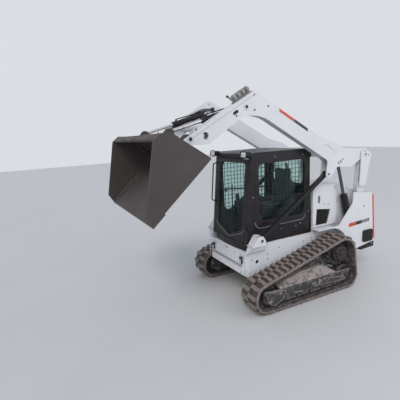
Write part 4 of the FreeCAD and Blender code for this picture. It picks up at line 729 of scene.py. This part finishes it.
def body_details(side, word):
    bolts = Forms()
    bolts.bolts(side * 460, ((-1010, 630), (-1011, 568), (-1257, 602), (-390, 688), (-233, 722), (-820, 690)), 15)
    bolts.bolts(side * 480, ((-22, 1175), (66, 1163), (228, 1192), (-205, 1400), (-205, 905), (190, 1395)), 13)
    bolts.bolts(side * 610, ((481, 526), (647, 1072), (840, 470)), 17)
    bolts.done("body_bolts_" + word, BARE)
    for colour, look, start, end in (("red", RED_FILM, 338, 482), ("black", BLACK_FILM, 485, 610),
                                     ("grey", GREY_FILM, 613, 775)):
        film = Forms()
        low = 801 + (start - 338) * 0.057, 801 + (end - 338) * 0.057
        high = 855 + (start - 338) * 0.048, 855 + (end - 338) * 0.048
        film.plate(side * 609.8, side * 0.9, [(start, low[0]), (end, low[1]), (end, high[1]), (start, high[0])])
        film.done("tail_stripe_%s_%s" % (colour, word), look, edge=0)
    lens = Forms()
    for number in range(9):
        y = 653 + number * 19.5
        lens.plate(side * 630, side * 3.2, [(y, 532), (y + 11, 532), (y + 11, 688), (y, 688)])
    lens.plate(side * 630.5, side * 2.5, rounded([(646, 527, 20), (660, 527, 3), (660, 693, 3), (646, 693, 20)]))
    lens.done("lamp_ribs_" + word, PLASTIC)
    glow = Forms()
    glow.plate(side * 629.5, side * 1.6, rounded([(772, 534, 6), (832, 534, 20), (832, 686, 20), (772, 686, 6)]))
    glow.done("lamp_lens_" + word, TAIL_LENS)
    welds = Forms()
    bead(welds, side * 461, [(-1380, 424), (-1385, 690)])
    bead(welds, side * 461, [(-250, 795), (-900, 795)], 3)
    bead(welds, side * 480.5, [(-230, 866), (228, 866)], 4)
    bead(welds, side * 480.5, [(-232, 880), (-232, 1440)], 3)
    welds.done("weld_beads_" + word, WHITE, edge=0)
    # Dark plates as painted shade behind the grille and in the slot.
    dark = Forms()
    dark.plate(side * 461.5, side * 1.5, [(-172, 884), (45, 884), (104, 1083), (-158, 1117)])
    slot = rounded([(-132, 1196, 18), (-94, 1196, 18), (-94, 1304, 18), (-132, 1304, 18)])
    dark.plate(side * 461.5, side * 1.5, slot)
    dark.done("grille_painted_shade_" + word, PAINTED_SHADE)
    mesh = Forms()
    for number in range(13):
        y = -165 + number * 21
        top = 1115 - (y + 170) * 0.12 if y < 90 else 1060
        low = 884 if y < 45 else 884 + (y - 45) * 3.3
        mesh.plate(side * 463.5, side * 2, [(y, low + 2), (y + 3, low + 2), (y + 3, top - 8), (y, top - 8)])
    for number in range(11):
        z = 900 + number * 20
        end = 45 + (z - 884) * 0.29
        mesh.plate(side * 464, side * 2, [(-168, z), (end, z), (end, z + 3), (-168, z + 3)])
    mesh.done("grille_mesh_" + word, PLASTIC)


both_sides(body_details)

# Front plate: bolts, step studs, and painted shade and the bars in its tie-down openings
front = Forms()
for x in (-390, -250, 250, 390):
    front.bolt(spot(x, -1390, 682), (0, -1, 0), 13)
for x in (-395, 395):
    front.bolt(spot(x, -1390, 440), (0, -1, 0), 15)
for number in range(15):
    x = -350 + number * 50
    front.turned(spot(x, -1391, 518), (0, -1, 0), [(0, 9), (4, 8), (5, 5)], 12)
front.done("front_bolts", BARE)
# Dark plates as painted shade in the tie-down openings.
hook_shades = Forms()
bars = Forms()
opening = rounded([(334, 550, 4), (404, 550, 4), (404, 648, 30), (334, 648, 30)])
for side, word in SIDES:
    hook_shades.solid([spot(side * x, -1377, z) for x, z in opening], (0, 0.002, 0))
    bars.swept([spot(side * 369, -1384, 560), spot(side * 369, -1384, 612)], 9, 10)
hook_shades.done("hook_painted_shade", PAINTED_SHADE)
bars.done("hook_bars", WHITE)

# Cab: seals, window bar, bolts, door furniture, lamps and handles
LEAN, TAIL_LEAN = math.radians(5.61), math.radians(5.11)


def on_door(x, up, out):
    """A place on the leaning door: across, up along it and out from its face, in mm."""
    y = -1325 + up * math.sin(LEAN) - out * math.cos(LEAN)
    return spot(x, y, 790 + up * math.cos(LEAN) + out * math.sin(LEAN))


def on_gate(x, up, out):
    """A place on the leaning tailgate."""
    y = 880.3 - up * math.sin(TAIL_LEAN) + out * math.cos(TAIL_LEAN)
    return spot(x, y, 500 + up * math.cos(TAIL_LEAN) + out * math.sin(TAIL_LEAN))


CAB_X = 445
CAB_BOLTS = ((-762, 933), (-509, 930), (-427, 958), (-1212, 1419), (-853, 1906), (-386, 1900), (-278, 1104))
SIDE_WINDOW = [(-1121, 1088, 90), (-366, 1077, 90), (-336, 1850, 110), (-1127, 1838, 90)]


def cab_side(side, word):
    line = [spot(side * 443, y, z) for y, z in rounded(SIDE_WINDOW, 8)]
    seal = Forms()
    seal.swept(line, 8, 8, closed=True)
    seal.done("window_seal_" + word, SEAL, edge=0)
    panel = Forms()
    outer = rounded([(-1185, 1001, 85), (-352, 1012, 65), (-305, 1880, 100), (-1165, 1880, 60)], 8)
    inner = rounded([(-1132, 1077, 98), (-356, 1066, 98), (-325, 1861, 116), (-1138, 1849, 98)], 8)
    rows = [[spot(side * CAB_X, y, z) for y, z in line] for line in (outer, inner)]
    panel.frame(*rows, (side * 0.004, 0, 0))
    panel.done("window_panel_" + word, BLACK)
    # A pale line along the side window's lower edge: a painted highlight, the sky's reflection there.
    highlight_line = Forms()
    lower = rounded([(-1188, 1000, 88), (-349, 1010, 68), (-345, 1300, 0), (-1188, 1300, 0)], 10)
    highlight_line.swept([spot(side * 448, y, z) for y, z in lower if z < 1120], 3.4, 6)
    highlight_line.done("window_edge_highlight_" + word, PAINTED_EDGE_HIGHLIGHT, edge=0)
    bar = Forms()
    bar.plate(side * 434.5, side * 7, rounded([(-1124, 1400, 3), (-346, 1350, 3), (-345, 1370, 3), (-1124, 1421, 3)]))
    grip = rounded([(-1100, 1366, 4), (-1060, 1366, 4), (-1060, 1398, 4), (-1100, 1398, 4)])
    bar.plate(side * 434.5, side * 9, grip)
    bar.done("window_bar_" + word, PLASTIC)
    bolts = Forms()
    bolts.bolts(side * CAB_X, CAB_BOLTS, 12)
    bolts.done("cab_bolts_" + word, BARE)
    lamp_face = Forms()
    corners = rounded([(336, 1930, 16), (448, 1930, 16), (448, 1990, 16), (336, 1990, 16)])
    lamp_face.solid([spot(side * x, -1304 + (z - 1930) * 0.12, z) for x, z in corners], (0, 0.006, 0))
    for x in (360, 392, 424):
        lamp_face.turned(spot(side * x, -1299.6, 1960), (0, -1, -0.12), [(0, 14), (3, 13), (5, 9), (5.6, 4)], 16)
    lamp_face.done("work_lens_" + word, LENS)
    shell = Forms()
    outer = rounded([(328, 1922, 22), (456, 1922, 22), (456, 1998, 22), (328, 1998, 22)])
    shell.swept([spot(side * x, -1306 + (z - 1930) * 0.12, z) for x, z in outer], 6, 8, closed=True)
    shell.solid([spot(side * x, -1297 + (z - 1930) * 0.12, z) for x, z in corners], (0, 0.07, 0))
    for x in (360, 424):
        shell.swept([spot(side * x, -1240, 1972), spot(side * x, -1215, 1974)], 8, 8)
    shell.done("work_bezel_" + word, PLASTIC)


both_sides(cab_side)

door_line = [(-316, 185, 60), (0, 62, 40), (316, 185, 60), (316, 1065, 45), (-316, 1065, 45)]
seal = Forms()
seal.swept([on_door(x, up, -6) for x, up in rounded(door_line, 7)], 7, 8, closed=True)
seal.done("door_seal", SEAL, "front_door", edge=0)
# A pale line along the door glass's lower edge: a painted highlight, the sky's reflection there.
edge = Forms()
lower = rounded([(-345, 158, 60), (0, 36, 46), (345, 158, 60), (345, 400, 0), (-345, 400, 0)], 7)
edge.swept([on_door(x, up, 1) for x, up in lower if up < 240], 2.6, 6)
edge.done("door_glass_edge_highlight", PAINTED_EDGE_HIGHLIGHT, "front_door", edge=0)

wiper = Forms()
wiper.turned(on_door(150, 128, -1), (0, -1, 0.1), [(0, 20), (9, 19), (12, 12), (13, 6)])
wiper.swept(curved([on_door(*at) for at in ((150, 128, 9), (120, 260, 13), (84, 420, 11), (60, 560, 8))]), 4, 8)
wiper.swept([on_door(*at) for at in ((92, 330, 4), (62, 550, 4), (34, 765, 4))], 5, 8)
wiper.done("door_wiper", PLASTIC, "front_door")
handle = Forms()
loop = ((470, 0), (474, 26), (500, 33), (600, 33), (626, 26), (630, 0))
handle.swept(curved([on_door(-352, up, out) for up, out in loop]), 7, 10)
handle.turned(on_door(-350, 430, -1), (0, -1, 0.1), [(0, 17), (6, 17), (8, 13), (8, 6)])
handle.done("door_handle", PLASTIC, "front_door")
grab = Forms()
loop = ((-412, 478, 0), (-414, 480, 34), (-420, 494, 52), (-424, 520, 56), (-424, 740, 56), (-424, 990, 56),
        (-420, 1014, 52), (-414, 1028, 34), (-412, 1030, 0))
grab.swept(curved([on_door(*at) for at in loop]), 9, 10)
for height in (478, 1030):
    grab.turned(on_door(-412, height, -1), on_door(0, 0, 100) - on_door(0, 0, 0), [(0, 17), (4, 17), (8, 12)])
grab.done("grab_loop", PLASTIC)

# Inside the cab: cushions, armrests, a small screen and the levers' boots


def stuffed(name, node, thick, crown, channels, head=None):
    """A cushion in its solid's place: rounded, crowned, drawn in where it is sewn, narrower above head."""
    source = frame["nodes"][node]
    thing = placed(name, source.data.copy())
    even = thing.modifiers.new("even", "REMESH")
    even.mode = "VOXEL"
    even.voxel_size = 0.007
    soft = thing.modifiers.new("soft", "SMOOTH")
    soft.factor = 0.5
    soft.iterations = 14
    graph = bpy.context.evaluated_depsgraph_get()
    data = bpy.data.meshes.new_from_object(thing.evaluated_get(graph))
    thing.modifiers.clear()
    thing.data = data
    low, high = (Vector(corner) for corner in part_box(node))
    middle, half = (low + high) / 2, (high - low) / 2
    flat = [axis for axis in range(3) if axis != thick[0]]
    for vert in data.vertices:
        share = [(vert.co[axis] - middle[axis]) / half[axis] for axis in range(3)]
        face = max(0.0, share[thick[0]] * thick[1])
        dome = (1 - share[flat[0]] ** 2) * (1 - share[flat[1]] ** 2)
        move = crown * dome - 0.007
        for axis, place, width in channels:
            move -= 0.011 * math.exp(-(((vert.co[axis] - place) / width) ** 2))
        vert.co[thick[0]] += thick[1] * face * move
        for axis, other in (flat, flat[::-1]):
            vert.co[axis] -= share[axis] * 0.008 * (1 - share[other] ** 2)
        if head:
            rise = max(0.0, min(1.0, (vert.co.z - head) / 0.11))
            vert.co.x *= 1 - 0.42 * rise * rise * (3 - 2 * rise)
    data.materials.clear()
    data.materials.append(VINYL)
    smooth_faces(data)
    smooth = thing.modifiers.new("even_again", "SMOOTH")
    smooth.factor = 0.4
    smooth.iterations = 2
    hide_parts(node)
    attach(thing, "chassis")


across = [(0, place, 0.007) for place in (-0.145, 0.145)]
stuffed("cushion_seat", "seat_cushion", (2, 1), 0.016,
        across + [(1, AXLE + y, 0.007) for y in (-0.80, -0.69, -0.58)])
stuffed("cushion_back", "seat_back", (1, -1), 0.014,
        across + [(2, z, 0.007) for z in (1.22, 1.33, 1.44)], 1.44)

inside = Forms()
for side, word in SIDES:
    rest = [spot(side * 262, y, z) for y, z in ((-960, 1246), (-800, 1262), (-560, 1262))]
    inside.swept(curved(rest), 11, 8)
    for number in range(4):
        inside.turned(spot(side * 295, -967, 1236 + number * 8), (0, 0, 1), [(0, 34 - number * 5), (5, 30 - number * 5)])
    for number in range(5):
        inside.turned(spot(side * (268 + 14 * number), -880, 1235), (0, 0, 1), [(0, 5), (6, 5), (8, 3)], 10)
inside.solid([spot(300, -1222, 1392), spot(394, -1222, 1392), spot(394, -1206, 1520), spot(300, -1206, 1520)],
             (0, 0.03, 0.002))
inside.done("console_details", PLASTIC)
screen = Forms()
screen.solid([spot(308, -1190.5, 1402), spot(386, -1190.5, 1402), spot(386, -1175, 1510), spot(308, -1175, 1510)],
             (0, 0.0015, 0))
screen.done("console_screen", TAIL_LENS)

# Tailgate: the mesh behind its louvres and its latch
gate = Forms()
wires = [(x, 150, x + 3, 610, -6) for x in range(-375, 376, 25)]
wires += [(-380, up, 380, up + 3, -8.5) for up in range(152, 593, 20)]
for left, low, right, high, out in wires:
    corners = ((left, low), (right, low), (right, high), (left, high))
    gate.solid([on_gate(x, up, out) for x, up in corners], (0, -0.002, 0))
gate.done("gate_mesh", PLASTIC, "tailgate")
latch = Forms()
latch.turned(on_gate(520, 400, 33), (0, 1, 0.09), [(0, 26), (5, 26), (8, 21), (8, 11), (6, 9)])
loop = ((330, 34), (334, 52), (360, 58), (440, 58), (466, 52), (470, 34))
latch.swept(curved([on_gate(480, up, out) for up, out in loop]), 7, 10)
latch.done("gate_latch", BARE, "tailgate")

# Arms: pin ends with their keepers, bolts, the stripe and the row of couplers

ARM_X = 600
ARM_BOLTS = ((-1268, 2653), (-1264, 2482), (-1069, 2521), (-1513, 2419), (114, 1752), (190, 1800), (-2030, 2290))
ELBOW = (-1262, 2700)
FORWARD, FALL = 0.8759, 0.4825  # the arm's front section leads forward and down by these shares


def arm_details(side, word):
    out = (side, 0, 0)
    dark = Forms()
    for name, size in (("hinge", 22), ("tilt_base", 20), ("control_top", 15), ("lift_top", 14)):
        y, z = PINS[name]
        dark.turned(spot(side * 605.5, y, z), out, [(0, size), (3, size), (5, size - 3), (5, 7), (3, 5)])
    dark.bolts(side * ARM_X, ARM_BOLTS, 15)
    dark.done("arm_pins_" + word, IRON, "lift_arm")
    ring = Forms()
    for number in range(28):
        angle = 2 * math.pi * number / 28
        y, z = -1920 + 40 * math.cos(angle), 2220 + 40 * math.sin(angle)
        ring.turned(spot(side * ARM_X, y, z), out, [(-0.5, 4.6), (2, 4.0), (2.6, 2)], 8)
    ring.done("arm_ring_" + word, WHITE, "lift_arm", edge=0)
    for colour, look, start, end in (("red", RED_FILM, -905, -676), ("black", BLACK_FILM, -673, -450)):
        film = Forms()
        line = []
        for y, down in ((start, 6), (end, 6), (end, 40), (start, 40)):
            line.append((y, ELBOW[1] - (y - ELBOW[0]) * 0.5616 - down * 1.147))
        film.plate(side * 599.8, side * 0.9, line)
        film.done("arm_stripe_%s_%s" % (colour, word), look, "lift_arm", edge=0)
    # A dark line under the arm's rear section, drawn as a hose with clamps: painted shade of the arm's underside.
    under = Forms()
    line = [(-1010, 2405), (-700, 2230), (-420, 2075), (-240, 1960), (-150, 1850)]
    under.swept(curved([spot(side * 545, y, z - 14) for y, z in line]), 8, 8)
    for y, z in line[:-1]:
        under.plate(side * 530, side * 30, [(y - 8, z - 26), (y + 8, z - 30), (y + 8, z + 4), (y - 8, z + 8)])
    under.done("arm_underside_shade_" + word, HOSE, "lift_arm", edge=0)


both_sides(arm_details)


def on_arm(x, forward, rise):
    """A place over the arm's front section: forward from the elbow and above its top edge."""
    y, z = ELBOW
    return spot(x, y - FORWARD * forward - FALL * rise, z - FALL * forward + FORWARD * rise)


caps = Forms()
for number in range(4):
    forward = 55 + number * 66
    caps.turned(on_arm(571, forward, 48), (1, 0, 0), [(-1, 19), (6, 19), (9, 15), (9, 7), (7, 6)])
    caps.turned(on_arm(549, forward, 48), (1, 0, 0), [(0, 32), (5, 32), (6, 30), (6, 24)])
    tail = ((519, 0, 48), (512, 0, 40), (506, 6, 22), (504, 14, 2))
    caps.swept(curved([on_arm(x, forward + more, rise) for x, more, rise in tail]), 7, 8)
caps.done("coupler_caps", BARE, "lift_arm")
knob = Forms()
lever = Vector((0, -FALL, FORWARD)) * 0.6 + Vector((0, -0.5, 0))
knob.turned(on_arm(546, 318, 92), lever, [(0, 8), (6, 13), (18, 14), (24, 9), (26, 4)])
knob.done("coupler_knob", PLASTIC, "lift_arm")

# Links and cylinders


def link_details(side, word):
    out = (side, 0, 0)
    y, z = PINS["rear_top"]
    pins = Forms()
    pins.turned(spot(side * 624.5, y, z), out, [(0, 15), (2, 15), (3.5, 12), (3.5, 5)])
    pins.done("rear_pin_" + word, IRON, "lift_arm")
    dots = Forms()
    dots.bolts(side * 617.5, ((611, 1880), (690, 1822)), 13)
    dots.done("link_bolts_" + word, IRON, "rear_links")
    y, z = PINS["control_base"]
    foot = Forms()
    foot.turned(spot(side * 593.5, y, z), out, [(0, 19), (3, 19), (5, 16), (5, 7), (3, 5)])
    foot.done("control_pin_" + word, IRON)


both_sides(link_details)


def along(first, second, x, distance, out=0.0):
    """A place on the line between two pins, moved out to its rear or top."""
    start, end = Vector(PINS[first]), Vector(PINS[second])
    way = (end - start).normalized()
    side = Vector((way.y, -way.x))
    return spot(x, *(start + way * distance + side * out))


def cylinder(side, word, name, first, second, x, radius, length, body):
    """A barrel's gland and end rings, ports and the pipe between them."""

    def at(distance, out=0.0):
        return along(first, second, side * x, distance, out)

    way = at(1) - at(0)
    dark = Forms()
    for start, end in ((44, 60), (length - 48, length - 42)):
        dark.collar(at(start), way, radius - 3, radius + 2.5, end - start)
    for distance in (64, length - 64):
        base = at(distance, radius - 3)
        out = at(distance, 100) - base
        dark.turned(base, out, [(0, 13), (12, 13), (12, 10), (20, 10)], 12)
        dark.turned(base, out, [(13, 12), (24, 12)], 6)
    pipe = ((length - 64, 14), (length - 90, 20), (length * 0.5, 14), (110, 14), (66, 18))
    dark.swept(curved([at(distance, radius + over) for distance, over in pipe]), 7, 8)
    for share in (0.32, 0.68):
        dark.collar(at(length * share - 9), way, radius - 3, radius + 2, 18)
    dark.done("%s_fittings_%s" % (name, word), BLACK, body)


for side, word in SIDES:
    cylinder(side, word, "lift", "lift_base", "lift_top", 545, 46, 655, "lift_barrels")
    cylinder(side, word, "tilt", "tilt_base", "tilt_eye", 432, 34, 515, "tilt_barrels")

# Bucket: beads, wear strips and bolts, drawn level about the hinge and turned with the rest


def on_bucket(x, y, z):
    """A place given as the bucket lies level about its hinge, turned down with it."""
    turn = math.radians(42)
    hinge_y, hinge_z = PINS["hinge"]
    lower_y = hinge_y + y * math.cos(turn) - z * math.sin(turn)
    return spot(x, lower_y, hinge_z + y * math.sin(turn) + z * math.cos(turn))


DOWN = on_bucket(0, 0, -1000) - on_bucket(0, 0, 0)
beads = Forms()
for side in (1, -1):
    line = [(-940, -214), (-90, -214), (-66, -196), (-182, 250)]
    for start, end in zip(line, line[1:]):
        steps = int(math.dist(start, end) / 14)
        points = []
        for step in range(steps + 1):
            share = step / steps
            y, z = start[0] + (end[0] - start[0]) * share, start[1] + (end[1] - start[1]) * share
            points.append(on_bucket(side * (847 + random.uniform(-1, 1)), y, z))
        beads.swept(points, 6, 6)
for x in (-600, -300, 300, 600):
    beads.swept([on_bucket(x, -200 + step * -0.5, 240 - step * 9) for step in range(40)], 5, 6)
beads.done("bucket_beads", STEEL, "bucket", edge=0)
strips = Forms()
for x in (-790, -410, 0, 410, 790):
    corners = ((x - 30, -796), (x - 30, -120), (x + 30, -120), (x + 30, -796))
    strips.solid([on_bucket(across, y, -224.4) for across, y in corners], DOWN * 0.011)
for number in range(9):
    strips.turned(on_bucket(-780 + 195 * number, -880, -216.5), -DOWN, [(0, 15), (3, 14), (6, 9), (7, 3)], 14)
strips.done("bucket_strips", STEEL, "bucket")

# Floor, light and camera

bpy.ops.mesh.primitive_plane_add(size=60, location=(0, 0, 0))
floor = bpy.context.object
floor.name = "floor"
ground = Paint("floor_pale")
floor.data.materials.append(
    ground.finish(ground.mix(ground.noise(0.7), (0.50, 0.49, 0.48), (0.56, 0.55, 0.54)), 0.9)
)

world = bpy.data.worlds.new("sky")
bpy.context.scene.world = world
world.use_nodes = True
sky = world.node_tree
back = sky.nodes["Background"]
rays = sky.nodes.new("ShaderNodeLightPath").outputs


def either(first, second):
    """The larger of two of the sky's values."""
    made = sky.nodes.new("ShaderNodeMath")
    made.operation = "MAXIMUM"
    sky.links.new(first, made.inputs[0])
    sky.links.new(second, made.inputs[1])
    return made.outputs[0]


seen = either(either(rays["Is Camera Ray"], rays["Is Glossy Ray"]), rays["Is Transmission Ray"])
blend = sky.nodes.new("ShaderNodeMix")
blend.data_type = "RGBA"
blend.inputs["A"].default_value = (0.80, 0.87, 1.0, 1)
blend.inputs["B"].default_value = (0.88, 0.91, 0.96, 1)
sky.links.new(seen, blend.inputs["Factor"])
sky.links.new(blend.outputs["Result"], back.inputs["Color"])
back.inputs["Strength"].default_value = 0.8


def lamp(name, kind, energy, place, aim, size, colour):
    """A lamp that looks at a place. A sun's size is its angle."""
    data = bpy.data.lights.new(name, kind)
    data.energy = energy
    data.color = colour
    if kind == "AREA":
        data.size = size
    else:
        data.angle = size
    thing = placed(name, data)
    thing.location = place
    thing.rotation_euler = (Vector(aim) - Vector(place)).to_track_quat("-Z", "Y").to_euler()


lamp("sun_soft", "SUN", 1.12, (6, -5, 8), (0, 0, 0.8), 0.35, (1.0, 0.97, 0.93))
lamp("fill", "AREA", 130, (6, 4, 4), (0, 0.4, 1.2), 5, (0.9, 0.95, 1.0))
lamp("fill_low", "SUN", 0.3, (5, -5, 2.4), (0, 0, 0.8), 0.9, (1.0, 0.97, 0.96))

# The camera that took the photo, fitted to it
FOCAL, EYE = 338.07, (3.9176, -2.7328, 2.2302)  # pixels at 400 across, metres
YAW, PITCH, ROLL = math.radians(64.006), math.radians(10.876), math.radians(-3.152)
back_way = Vector((math.sin(YAW) * math.cos(PITCH), -math.cos(YAW) * math.cos(PITCH), math.sin(PITCH)))
right = Vector((math.cos(YAW), math.sin(YAW), 0))
up = back_way.cross(right)
right, up = (
    right * math.cos(ROLL) + up * math.sin(ROLL),
    up * math.cos(ROLL) - right * math.sin(ROLL),
)
lens = bpy.data.cameras.new("camera")
lens.sensor_width = 36
lens.lens = FOCAL / 400 * lens.sensor_width
camera = placed("camera", lens)
turn = Matrix((right, up, back_way)).transposed().to_4x4()
camera.matrix_world = Matrix.Translation(EYE) @ turn
bpy.context.scene.camera = camera
bpy.context.scene.view_settings.view_transform = "Standard"
